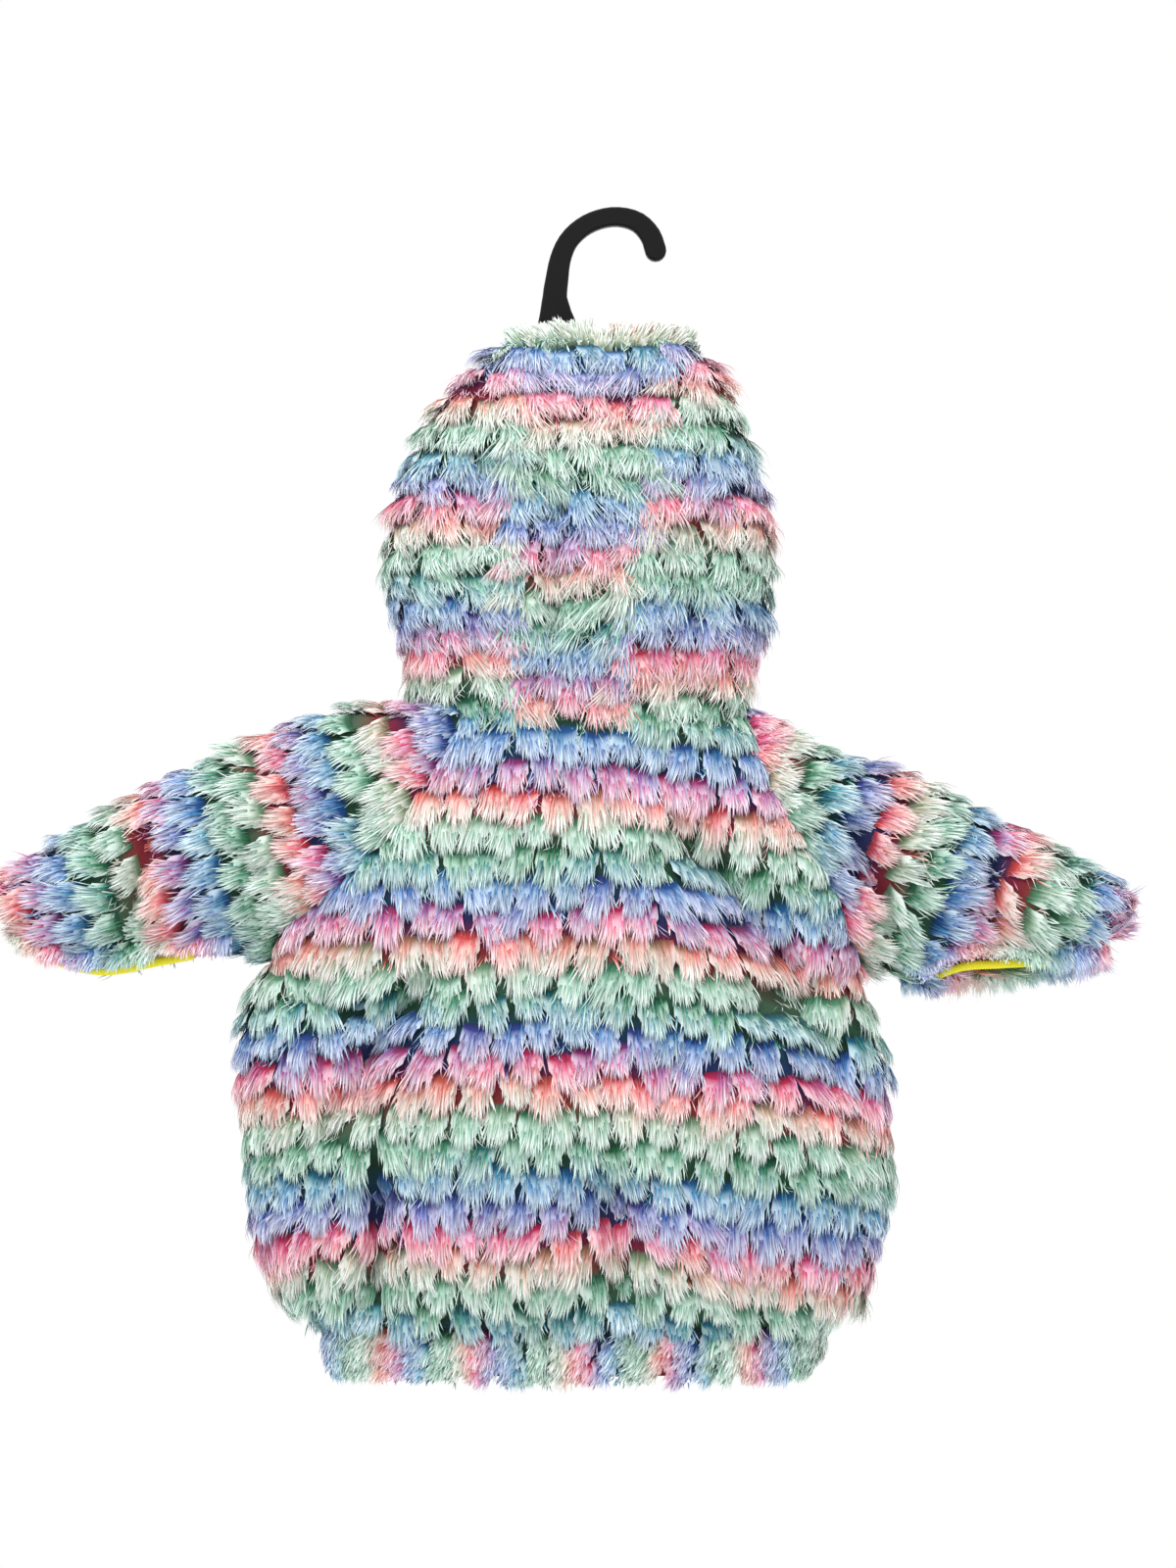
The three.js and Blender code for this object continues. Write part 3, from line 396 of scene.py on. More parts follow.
def tube_point(wing, s, turn, face, inset):
    """Points of a wing's tube: turn is 0 on top and 1 at the lower edge."""
    stations = wing["stations"]
    at = s * STATIONS
    opening = slit_share(s)
    lift = wing["slit_lift"] * opening * (1 if face < 0 else SLIT["front_share"])
    top = np.stack([read(stations, "topX", at, "at"), read(stations, "topZ", at, "at")], axis=-1)
    low = np.stack([read(stations, "lowX", at, "at"), read(stations, "lowZ", at, "at") + lift], axis=-1)
    middle = (top + low) / 2
    arm = (top - low) / 2
    length = np.linalg.norm(arm, axis=-1, keepdims=True)
    arm = arm / np.maximum(length, 1e-6) * np.maximum(length - np.asarray(inset)[..., None], 0)
    depth = np.maximum(read(stations, "depth", at, "at") - inset, 0)
    gap = HALF_SEAM + (SLIT["back_gap"] if face < 0 else SLIT["front_gap"]) * opening
    last = math.pi - np.arcsin(np.minimum(gap / np.maximum(depth, gap), 1))
    angle = turn * np.where(depth > 0, last, math.pi)
    x = middle[..., 0] + arm[..., 0] * np.cos(angle)
    z = middle[..., 1] + arm[..., 1] * np.cos(angle)
    clear = smoothstep(s, *WING_CLEAR[:2]) * (1 - smoothstep(s, *WING_CLEAR[2:]))
    pressed = np.minimum(fold_depth(WING_FOLDS, x, z) * clear, depth * MAX_PRESS)
    return np.stack([x, face * (depth - pressed) * np.sin(angle), z], axis=-1)


def wing_half(wing, face, turn, s, inset):
    """Points of one side of a wing, which starts on its seam and goes over into the tube."""
    point = tube_point(wing, s, turn, face, inset)
    fade = np.where(s < SEAM_FADE, (1 - s / SEAM_FADE) ** 2, 0.0)[..., None]
    seam = wing_seam_point(wing["side"], turn, face, inset)
    start = tube_point(wing, np.zeros_like(s), turn, face, inset)
    return point + (seam - start) * fade


def wing_point(wing, across, s, inset):
    """Points of a wing: across is -1 at the lower back edge, 0 on top and 1 in front."""
    across, s = np.broadcast_arrays(np.asarray(across, float), np.asarray(s, float))
    inset = np.broadcast_to(np.asarray(inset, float), s.shape) * np.minimum(1, (1 - s) * TIP_TAPER)
    turn = np.abs(across)
    back = wing_half(wing, -1, turn, s, inset)
    front = wing_half(wing, 1, turn, s, inset)
    return np.where((across < 0)[..., None], back, front)


def hood_point(angle, z, inset):
    """Points of the hood: angle is 0 at the middle of the back and grows to the right."""
    left = read(HOOD, "left", z)
    right = read(HOOD, "right", z)
    square = read(HOOD, "square", z)
    sine = np.sin(angle)
    cosine = np.cos(angle)
    x = (left + right) / 2 + ((right - left) / 2 - inset) * np.sign(sine) * np.abs(sine) ** square
    folds = HOOD_FOLD_SHARE * fold_depth(HOOD_FOLDS, x, z)
    pressed = np.where(cosine > 0, folds * smoothstep(z - NECK_Z, 0, HOOD_CLEAR), 0)
    depth = read(HOOD, "depth", z) - inset - pressed
    return np.stack([x, -depth * np.sign(cosine) * np.abs(cosine) ** square, z], axis=-1)


def hood_angle(x, z):
    """The hood's angle at which its back lies over x."""
    left = read(HOOD, "left", z)
    right = read(HOOD, "right", z)
    share = (x - (left + right) / 2) / ((right - left) / 2)
    return np.sign(share) * np.arcsin(np.minimum(np.abs(share), 1) ** (1 / read(HOOD, "square", z)))


def hem_point(angle, z, inset):
    """Points of the hem band: angle is 0 at the middle of the back."""
    left = read(HEM, "left", z)
    right = read(HEM, "right", z)
    x = (left + right) / 2 + ((right - left) / 2 - inset) * np.sin(angle)
    return np.stack([x, -(read(HEM, "depth", z) - inset) * np.cos(angle), z], axis=-1)


# Each piece of cloth as a skin: points for u across it and v along it, both from 0 to 1
def body_skin_of(face):
    def skin(u, v, inset):
        z = mix(NECK_Z - HALF_SEAM, HEM_SEAM_Z + HALF_SEAM, v)
        return body_skin(2 * u - 1, z, face, inset)
    return skin


def hood_centre_skin(u, v, inset):
    z = mix(HOOD["z"][0], NECK_Z + HALF_SEAM, v)
    left = hood_angle(read(HOOD, "seamLeft", z) + RAGLAN_SHIFT, z)
    right = hood_angle(read(HOOD, "seamRight", z) - RAGLAN_SHIFT, z)
    return hood_point(mix(left, right, u), z, inset)


def hood_side_skin_of(side):
    def skin(u, v, inset):
        z = mix(HOOD["z"][0], NECK_Z + HALF_SEAM, v)
        seam = read(HOOD, "seamLeft" if side < 0 else "seamRight", z)
        start = hood_angle(seam + side * RAGLAN_SHIFT, z)
        face_edge = side * math.pi - hood_angle(FACE_CENTRE_X + side * read(HOOD, "face", z), z)
        return hood_point(mix(start, face_edge, u), z, inset)
    return skin


def wing_skin_of(wing):
    def skin(u, v, inset):
        return wing_point(wing, 2 * u - 1, v, inset)
    return skin


def hem_skin(u, v, inset):
    gap = HALF_SEAM / HEM["depth"][0]
    angle = mix(gap - math.pi / 2, 1.5 * math.pi - gap, u)
    z = mix(HEM_SEAM_Z - HALF_SEAM, HEM["z"][-1] + HEM_PILE, v)
    return hem_point(angle, z, inset)


# How far along the nap a point lies, and the place of its colour in the dye's repeat
def repeat_phase(position, pinks):
    """The dye's phase along the nap, where position grows along it and pinks are its pink places."""
    pinks = np.asarray(pinks, float)
    repeat = (pinks[-1] - pinks[0]) / (len(pinks) - 1)
    places = np.concatenate([[pinks[0] - repeat * 3], pinks, [pinks[-1] + repeat * 3]])
    phases = np.concatenate([[-3.0], np.arange(len(pinks)), [len(pinks) + 2.0]]) + PINK
    return np.interp(position, places, phases)


def body_nap(points):
    return -points[..., 2] - np.interp(points[..., 0], STRIPE_DROP["x"], STRIPE_DROP["drop"])


def down_nap(points):
    return -points[..., 2]


def wing_nap_of(axis):
    def nap(points):
        x = points[..., 0] - axis["start_x"]
        z = points[..., 2] - axis["start_z"]
        return x * axis["x"] + z * axis["z"]
    return nap


def row_places(skin, nap, at):
    """The line on a skin where the nap's measure has one value, as arrays of u and v."""
    columns, rows = ROW_GRID
    u = np.linspace(0, 1, columns)
    v = np.linspace(0, 1, rows)
    grid_u, grid_v = np.meshgrid(u, v, indexing="ij")
    measure = nap(skin(grid_u, grid_v, ROOT_INSET))
    found_u = []
    found_v = []
    for i in range(columns):
        along = np.maximum.accumulate(measure[i])
        if along[0] <= at <= along[-1]:
            found_u.append(u[i])
            found_v.append(np.interp(at, along, v))
    return np.array(found_u), np.array(found_v)


def tuft_roots(skin, nap, pitch=ROW_PITCH, width=TUFT_WIDTH, first=0.0):
    """Roots of the tufts in brick order, as arrays of u and v."""
    u, v = np.meshgrid(np.linspace(0, 1, 41), np.linspace(0, 1, 41), indexing="ij")
    measure = nap(skin(u, v, ROOT_INSET))
    start = math.ceil((measure.min() - first) / pitch)
    end = math.floor((measure.max() - first) / pitch)
    roots_u = []
    roots_v = []
    for row in range(start, end + 1):
        line_u, line_v = row_places(skin, nap, first + row * pitch)
        if len(line_u) < 3:
            continue
        points = skin(line_u, line_v, ROOT_INSET)
        steps = np.linalg.norm(np.diff(points, axis=0), axis=1)
        arc = np.concatenate([[0], np.cumsum(np.where(np.diff(line_u) > 0.03, 0, steps))])
        middle = np.interp(0.5, line_u, arc) if line_u[0] < 0.5 < line_u[-1] else arc[-1] / 2
        shift = (0.5 * (row % 2) + middle / width) % 1.0
        places = np.arange(shift * width, arc[-1], width)
        places = places[(places > EDGE_CLEAR) & (places < arc[-1] - EDGE_CLEAR)]
        if not len(places) or places[0] > EDGE_GAP * width:
            places = np.append(places, EDGE_ROOT)
        if arc[-1] - places.max() > EDGE_GAP * width:
            places = np.append(places, arc[-1] - EDGE_ROOT)
        roots_u.append(np.interp(places, arc, line_u))
        roots_v.append(np.interp(places, arc, line_v))
    return np.concatenate(roots_u), np.concatenate(roots_v)


def line_roots(skin, line_u, line_v, spacing):
    """Roots along a line on a skin, evenly spaced, as arrays of u and v."""
    points = skin(line_u, line_v, ROOT_INSET)
    arc = np.concatenate([[0], np.cumsum(np.linalg.norm(np.diff(points, axis=0), axis=1))])
    places = np.linspace(0, arc[-1], max(int(arc[-1] / spacing), 2))
    return np.interp(places, arc, line_u), np.interp(places, arc, line_v)


def frames_at(skin, u, v, lie):
    """Points at the roots with the pile's direction, the way across it and the way out."""
    step = 0.004
    points = skin(u, v, ROOT_INSET)
    du = skin(np.clip(u + step, 0, 1), v, ROOT_INSET) - skin(np.clip(u - step, 0, 1), v, ROOT_INSET)
    dv = skin(u, np.clip(v + step, 0, 1), ROOT_INSET) - skin(u, np.clip(v - step, 0, 1), ROOT_INSET)
    normal = unit(np.cross(du, dv))
    if np.sum(normal[:, 1] * points[:, 1]) < 0:
        normal = -normal
    lie = lie(points) if callable(lie) else lie
    along = np.broadcast_to(np.asarray(lie, float), points.shape)
    along = unit(along - normal * np.sum(along * normal, axis=-1, keepdims=True))
    return points, along, np.cross(normal, along), normal


def add_mesh(name, points, faces, colours=None, pattern=None, smooth=True):
    mesh = bpy.data.meshes.new(name)
    mesh.vertices.add(len(points))
    mesh.vertices.foreach_set("co", (np.asarray(points) * MM).astype(np.float32).ravel())
    counts = np.array([len(face) for face in faces])
    loops = faces.ravel() if isinstance(faces, np.ndarray) else np.hstack(faces)
    mesh.loops.add(len(loops))
    mesh.loops.foreach_set("vertex_index", loops.astype(np.int32))
    mesh.polygons.add(len(counts))
    starts = np.concatenate([[0], np.cumsum(counts)[:-1]])
    mesh.polygons.foreach_set("loop_start", starts.astype(np.int32))
    mesh.polygons.foreach_set("loop_total", counts.astype(np.int32))
    mesh.update(calc_edges=True)
    if smooth:
        mesh.polygons.foreach_set("use_smooth", np.ones(len(counts), bool))
    if pattern is not None:
        layer = mesh.uv_layers.new(name="fibre")
        layer.data.foreach_set("uv", pattern[loops].astype(np.float32).ravel())
    if colours is not None:
        layer = mesh.color_attributes.new("Col", "FLOAT_COLOR", "POINT")
        rgba = np.concatenate([colours, np.ones((len(colours), 1))], axis=1)
        layer.data.foreach_set("color", rgba.astype(np.float32).ravel())
    piece = bpy.data.objects.new(name, mesh)
    bpy.context.scene.collection.objects.link(piece)
    return piece


# The pile: each tuft is a domed pad of dense pile with loose strands over it.
# A strand is a tapered blade of seven corners and five triangles.
STRAND_AT = np.array([0.0, 0.36, 0.72, 1.0])
STRAND_TAPER = np.array([0.75, 1.0, 0.95, 0.0])
STRAND_FACES = np.array([(0, 1, 3), (0, 3, 2), (2, 3, 5), (2, 5, 4), (4, 5, 6)])
STRAND_CORNERS = [2, 2, 2, 1]  # how many of them lie at each place along the strand
STRAND_WIDTH = 0.67
PAD_ACROSS = np.array([-1.0, -0.65, -0.22, 0.22, 0.65, 1.0])
PAD_ALONG = np.array([0.0, 0.25, 0.5, 0.75, 0.92])

ROUNDING = 0.46  # how much shorter a tuft is at its sides
ROUND_POWER = 2.2  # how late across the tuft it gets shorter
MAX_LEAN = 0.7  # no pile leans further sideways than this angle
# How the pile stands: where it has risen, and where and how much it droops
RISEN_AT = 0.65
DROOP_AT = 0.6
DROOP = 1.1

# The pad in the tuft, as shares of the tuft's length, width and rise, and sizes in millimetres
PAD = {
    "reach": 0.97, "behind": 1.5, "root_width": 0.86, "flare": 0.16,
    "rise": 0.82, "dome": 0.6, "sunk": 0.9, "pale": 0.85, "shade": 0.9, "pattern_step": 40.0,
}
# The strands, in the same way
STRAND = {
    "bundles": 7, "bundle_pull": 0.18, "spread": 1.05, "widest": 1.1, "root_width": 0.8, "flare": 0.2,
    "first_root": -2.5, "last_root": 7, "shortest": 3, "rise": 0.62, "layers": 0.45, "dome": 0.55,
    "sunk": 0.6, "roll": 0.4, "thin": 0.7, "thick": 1.25, "least_pale": 0.5, "bright": 0.95, "pattern": 400,
}
# How much strands differ: on smooth pile, and what is added where the pile is fully matted
STRAY = {
    "turn": (0.07, 0.25),
    "reach": (0.04, 0.09),
    "splay": (0.6, 0),
    "curl": (0.5, 2.2),
    "lift": (0.5, 0.9),
    "phase": (0.012, 0),
    "fade": (0.05, 0),
    "bright": (0.09, 0),
    "tuft_bright": (0.05, 0),
}
LENGTH_STRAY = 0.075
MATTED = 0.15  # how matted the pile is, from 0 to 1
MATTED_LOSS = 0.2  # how much of a pad's length matting takes
TOUSLE = 0.13  # how far one tuft leans another way than the next
HOOD_LOOK = {"show": HOOD_SHOW, "tousle": 0.26, "matted": 0.6}
HEM_LOOK = {"show": HEM_SHOW, "tousle": 0.06}
UNDERCOAT = {"body": 750, "hood": 600, "wing": 600}  # tufts of short pile under each piece's own

# Tufts by kind: how many strands each has, its length, its rise and its width
TUFTS = {
    "back": (68, 21.0, 7.0, TUFT_WIDTH),
    "front": (38, 21.0, 7.0, TUFT_WIDTH),
    "back_seam": (68, 15, 5.5, 12),
    "front_seam": (38, 15, 5.5, 12),
    "hood": (88, 18.5, 7.5, HOOD_TUFT),
    "lower_crest": (76, 14, 5, 10),
    "upper_crest": (76, 10, 5, 10),
    "wing": (66, 21.0, 7.0, TUFT_WIDTH),
    "wing_end": (52, 9.5, 4, 12),
    "wing_seam": (72, 15, 5.5, 12),
    "wing_tip": (60, 7.5, 1.5, 8),
    "fringe": (52, None, 3.5, 10),
    "hem": (44, 13.5, 6, 12),
    "hem_edge": (30, 7, 3.5, 9),
    "undercoat": (5, None, 3.5, 6),
}

# The cloth of each piece: its flat size in metres, the area of that which shows, how it is held,
# and the columns and rows of its grid here
CLOTH = {
    "body": ((0.42, 0.33), 0.115, "hung", 71, 57),
    "hood_centre": ((0.08, 0.21), 0.014, "hung", 25, 49),
    "hood_side": ((0.17, 0.23), 0.026, "hung", 49, 49),
    "wing_left": ((0.26, 0.25), 0.045, "hung", 71, 57),
    "wing_right": ((0.26, 0.25), 0.04, "hung", 71, 57),
    "hem_band": ((0.6, 0.027), 0.0162, "gathered", 193, 7),
}


def tuft_colour(phase, fade, pale):
    """The dye's colour from root (0) to tip (1) of the pile, whose tips are pale to a share, with painted
    shade darkening it towards the roots.
    """
    middle = smoothstep(fade, ROOT_END, MIDDLE)[..., None]
    tip = (pale * smoothstep(fade, MIDDLE, TIP_START))[..., None]
    colour = mix(dye_colour("root", phase), dye_colour("middle", phase), middle)
    colour = mix(colour, dye_colour("tip", phase), tip)
    # painted shade: the pile darkens towards its roots, as if shadowed by the tufts above
    return colour * mix(ROOT_PAINTED_SHADE, 1.0, smoothstep(fade, SHADE_START, SHADE_END))[..., None]


def arch(t):
    """How the pile rises from its root, lies over and droops at its tip, from 0 to 1."""
    rise = np.sin(np.minimum(t / RISEN_AT, 1) * math.pi / 2)
    return rise - DROOP * np.maximum(t - DROOP_AT, 0) ** 2


def leaning(forward, lean):
    """How far sideways pile goes that leans over while it goes forward."""
    return forward * np.tan(np.clip(lean, -MAX_LEAN, MAX_LEAN))


def rounded(length, place):
    """The length of a tuft at a place across it, from -1 to 1, as a share of its own."""
    return length - ROUNDING * np.abs(place) ** ROUND_POWER


def grid_quads(index):
    """The cells of a grid of corners."""
    corners = (index[:-1, :-1], index[:-1, 1:], index[1:, 1:], index[1:, :-1])
    return np.stack(corners, axis=-1).reshape(-1, 4)


def tuft_pads(frames, phase_at, lean, length, rise, width):
    """The domed pads under the strands: points, faces, colours and places on the fibre pattern."""
    points, along, across, normal = (part[:, None, None, :] for part in frames)
    a, t = np.meshgrid(PAD_ACROSS, PAD_ALONG, indexing="xy")
    forward = length * rounded(PAD["reach"], a) * t - PAD["behind"]
    side = a * width / 2 * (PAD["root_width"] + PAD["flare"] * t) + leaning(forward, lean)
    lift = rise * PAD["rise"] * arch(t) * (1 - PAD["dome"] * a ** 2) - PAD["sunk"]
    shape = points + along * forward[..., None] + across * side[..., None] + normal * lift[..., None]
    rows, columns = t.shape
    quads = grid_quads(np.arange(rows * columns).reshape(rows, columns))
    triangles = np.concatenate([quads[:, [0, 1, 2]], quads[:, [0, 2, 3]]])
    tufts = len(points)
    number = np.arange(tufts)[:, None, None]
    faces = (triangles[None] + rows * columns * number).reshape(-1, 3)
    fade = np.broadcast_to(t, (tufts, rows, columns)) + SHADE_START
    phase = phase_at(points + across * (a * width / 2)[..., None])
    # painted shade: each pad is a little darker than the strands over it
    colour = tuft_colour(phase, fade, PAD["pale"]) * PAD["shade"]
    pattern = np.stack([side + PAD["pattern_step"] * number, np.broadcast_to(forward, side.shape)], axis=-1)
    return shape.reshape(-1, 3), faces, colour.reshape(-1, 3), pattern.reshape(-1, 2)


def stray(random, kind, matted, shape):
    """How far each strand strays from the even form, as the table says for its kind."""
    smooth, added = STRAY[kind]
    return random.normal(0, smooth + added * matted, shape)


def tuft_strands(random, frames, phase_at, lean, strands, length, rise, width, matted):
    """The loose strands: points, faces, colours and places on the fibre pattern."""
    points, along, across, normal = (part[:, None, None, :] for part in frames)
    tufts = len(points)
    shape = (tufts, strands)
    bundles = random.uniform(-1, 1, (tufts, STRAND["bundles"]))
    bundle = np.take_along_axis(bundles, random.integers(0, STRAND["bundles"], shape), axis=1)
    place = mix(random.uniform(-STRAND["spread"], STRAND["spread"], shape), bundle, STRAND["bundle_pull"])
    place = np.clip(place, -STRAND["widest"], STRAND["widest"])
    layer = random.uniform(0, 1, shape)
    start = random.uniform(STRAND["first_root"], STRAND["last_root"], shape)
    turned = lean[:, :, 0] + stray(random, "turn", matted, shape)
    uneven = 1 + stray(random, "reach", matted, shape)
    reach = np.maximum(length[:, :, 0] * rounded(1, place) * uneven - start, STRAND["shortest"])
    height = rise * (STRAND["rise"] + STRAND["layers"] * layer) * (1 - STRAND["dome"] * place ** 2)

    t = STRAND_AT[None, None, :]
    side = place[..., None] * width / 2 * (STRAND["root_width"] + STRAND["flare"] * t)
    side = side + stray(random, "splay", matted, shape)[..., None] * t
    side = side + stray(random, "curl", matted, shape)[..., None] * t * t
    forward = start[..., None] + reach[..., None] * t
    side = side + leaning(forward, turned[..., None])
    lift = height[..., None] * arch(t) - STRAND["sunk"] + stray(random, "lift", matted, shape)[..., None] * t
    spine = points + along * forward[..., None] + across * side[..., None] + normal * lift[..., None]

    roll = random.normal(0, STRAND["roll"], shape)[..., None, None]
    broad = across * np.cos(roll) + normal * np.sin(roll)
    width_share = random.uniform(STRAND["thin"], STRAND["thick"], shape)[..., None, None]
    half = 0.5 * STRAND_WIDTH * width_share * STRAND_TAPER[:, None]
    left = spine - broad * half
    right = spine + broad * half
    strand = np.stack([
        left[:, :, 0], right[:, :, 0], left[:, :, 1], right[:, :, 1],
        left[:, :, 2], right[:, :, 2], spine[:, :, 3],
    ], axis=2)
    corners = strand.shape[2]
    faces = (STRAND_FACES[None] + corners * np.arange(tufts * strands)[:, None, None]).reshape(-1, 3)

    sideways = across[:, :, 0] * (place * width / 2)[..., None]
    root = points[:, :, 0] + along[:, :, 0] * start[..., None] + sideways
    phase = phase_at(root[:, :, None, :])[:, :, 0] + stray(random, "phase", matted, shape)
    corner_at = np.repeat(STRAND_AT, STRAND_CORNERS)[None, None, :]
    fade = corner_at + stray(random, "fade", matted, shape)[..., None]
    pale = random.uniform(STRAND["least_pale"], 1, shape)[..., None]
    colour = tuft_colour(np.broadcast_to(phase[..., None], fade.shape), fade, pale)
    bright = STRAND["bright"] + stray(random, "bright", matted, shape)
    bright = bright * (1 + stray(random, "tuft_bright", matted, (tufts, 1)))
    colour = np.clip(colour * bright[..., None, None], 0, 1)
    pattern = random.uniform(0, STRAND["pattern"], shape)[..., None, None]
    pattern = np.broadcast_to(pattern, strand.shape[:3] + (2,))
    return strand.reshape(-1, 3), faces, colour.reshape(-1, 3), pattern.reshape(-1, 2)


def undercoat(random, skin, lie, count, phase_at):
    """Short strands all over the backing, which show between the tufts, dark from their root dye and the
    pile's painted shade.
    """
    frames = frames_at(skin, random.uniform(0.004, 0.996, count), random.uniform(0.01, 0.985, count), lie)
    lean = random.normal(0, 0.35, (count, 1, 1))
    length = random.uniform(7, 11, (count, 1, 1))
    strands, _, rise, width = TUFTS["undercoat"]
    return tuft_strands(random, frames, phase_at, lean, strands, length, rise, width, matted=1)


def scatter(random, values, spread):
    """Values that each stray a little."""
    return values + random.normal(0, spread, len(values))


def pile_arrays(panel, u, v, lie, kind, length=None, phase=None, frames=None, show=NAP_SHOW,
                tousle=TOUSLE, matted=MATTED, under=0):
    """Tufts at roots on a panel. Each is a little longer, shorter or more turned than the next."""
    random, skin, nap, pinks = panel
    strands, usual_length, rise, width = TUFTS[kind]
    length = usual_length if length is None else length
    if frames is None:
        u = np.clip(scatter(random, u, 0.0022 + 0.006 * matted), 0, 1)
        v = np.clip(scatter(random, v, 0.0035 + 0.012 * matted), 0, 1)
        frames = frames_at(skin, u, v, lie)
    roots = frames[0]
    # slow waves over the cloth, of colour here and of lean below
    drift = 0.035 * np.sin(roots[:, 0] / 23.0 + 1.0) * np.sin(roots[:, 2] / 31.0)
    drift = scatter(random, drift, 0.018)[:, None, None]

    def phase_at(points):
        if phase is not None:
            return np.full(points.shape[:-1], phase) + drift
        return repeat_phase(nap(points) + show, pinks) + drift

    def under_phase(points):
        return repeat_phase(nap(points), pinks)

    waver = 0.16 * np.sin(roots[:, 0] / 19.0 + roots[:, 2] / 27.0)
    lean = scatter(random, waver, tousle)[:, None, None]
    long = (length * random.normal(1, LENGTH_STRAY, len(u)))[:, None, None]
    pads = tuft_pads(frames, phase_at, lean, long * (1 - MATTED_LOSS * matted), rise, width)
    loose = tuft_strands(random, frames, phase_at, lean, strands, long, rise, width, matted)
    if not under:
        return joined([pads, loose])
    return joined([pads, loose, undercoat(random, skin, lie, under, under_phase)])


FRINGE_TUFTS = 26
FRINGE_PLACES = (0.3, 0.36, 0.56, 0.62)  # where along a wing a fringe's length changes


def fringe_arrays(panel, wing, face, lengths):
    """Pile that hangs over the edge of a hand slit, with a length at each end and in the middle."""
    s = np.linspace(SLIT["start"] - 0.06, SLIT["end"] + 0.04, FRINGE_TUFTS)
    s = scatter(panel[0], s, 0.004)
    turn = 0.86 if face < 0 else 0.97
    roots = wing_point(wing, np.full(s.shape, face * turn), s, 4.0)
    hang = unit(np.array([wing["side"] * 0.45, 0.0, -1.0]))
    along = np.broadcast_to(hang, roots.shape)
    normal = np.broadcast_to([0.0, face, 0.0], roots.shape)
    frames = (roots, along, np.cross(normal, along), normal)
    inner, middle, outer = lengths
    length = np.interp(s, [s[0], *FRINGE_PLACES, s[-1]], [inner, inner, middle, middle, outer, outer])
    return pile_arrays(panel, s, s, None, "fringe", length, frames=frames)


def joined(parts):
    """Several sets of points, faces, colours and pattern places as one."""
    starts = np.cumsum([0] + [len(part[0]) for part in parts[:-1]])
    return (
        np.concatenate([part[0] for part in parts]),
        np.concatenate([part[1] + first for part, first in zip(parts, starts)]),
        np.concatenate([part[2] for part in parts]),
        np.concatenate([part[3] for part in parts]),
    )


def add_pile(name, arrays):
    points, faces, colours, pattern = arrays
    pile = add_mesh(name, points, faces, colours, pattern)
    pile.data.materials.append(pile_material())
    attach(pile, "root")
    print(name, len(faces), "triangles")
    return pile


def grid_shell(name, panel, kind, node):
    """Thin backing cloth on a skin, dyed along the nap with painted shade on its outer side, closed round
    its edges.
    """
    _, skin, nap, pinks = panel
    flat, area, held, columns, rows = CLOTH[kind]
    u, v = np.meshgrid(np.linspace(0, 1, columns), np.linspace(0, 1, rows), indexing="xy")
    outer = skin(u, v, ROOT_INSET).reshape(-1, 3)
    inner = skin(u, v, ROOT_INSET + BACKING).reshape(-1, 3)
    phase = repeat_phase(nap(outer), pinks)
    count = columns * rows
    index = np.arange(count).reshape(rows, columns)
    quads = grid_quads(index)
    border = np.concatenate([index[0, :-1], index[:-1, -1], index[-1, :0:-1], index[:0:-1, 0]])
    after = np.roll(border, -1)
    rim = np.stack([after, border, border + count, after + count], axis=-1)
    faces = np.concatenate([quads, quads[:, ::-1] + count, rim])
    points = np.concatenate([outer, inner])
    # painted shade: the outer side is the root dye darkened, standing in for the shade between the roots
    outside = dye_colour("root", phase) * BACKING_SHADE
    inside = dye_colour("tip", phase) * INSIDE_SHADE
    cloth = add_mesh(name, points, faces, np.concatenate([outside, inside]))
    if signed_volume(points, faces) < 0:
        cloth.data.flip_normals()
    cloth.data.materials.append(backing_material())
    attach(cloth, "root")
    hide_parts(node)


def add_plush(node, panel, kind, parts):
    """A piece of plush, as its pile and the cloth under it, which takes the node's place."""
    pile = add_pile(f"{node}_pile", joined(parts))
    grid_shell(f"{node}_cloth", panel, kind, node)


def signed_volume(points, quads):
    """The volume inside a closed skin of quads, negative where they face inwards."""
    a, b, c, d = (points[quads[:, k]] for k in range(4))
    return float(np.sum(a * np.cross(b, c)) + np.sum(a * np.cross(c, d))) / 6


def new_material(name, roughness):
    material = bpy.data.materials.new(name)
    material.use_nodes = True
    shader = material.node_tree.nodes["Principled BSDF"]
    shader.inputs["Roughness"].default_value = roughness
    return material, material.node_tree.nodes, material.node_tree.links, shader


def set_inputs(node, values):
    for name, value in values.items():
        node.inputs[name].default_value = value


def add_bump(nodes, links, shader, noise, strength, distance):
    """Bump from a noise on a shader."""
    bump = nodes.new("ShaderNodeBump")
    set_inputs(bump, {"Strength": strength, "Distance": distance})
    links.new(noise.outputs["Fac"], bump.inputs["Height"])
    links.new(bump.outputs["Normal"], shader.inputs["Normal"])


def add_dye_and_painted_shade(nodes):
    """The colour that each mesh keeps: its dye, with painted shade in it on the pile and backing."""
    colour = nodes.new("ShaderNodeVertexColor")
    colour.layer_name = "Col"
    return colour.outputs["Color"]


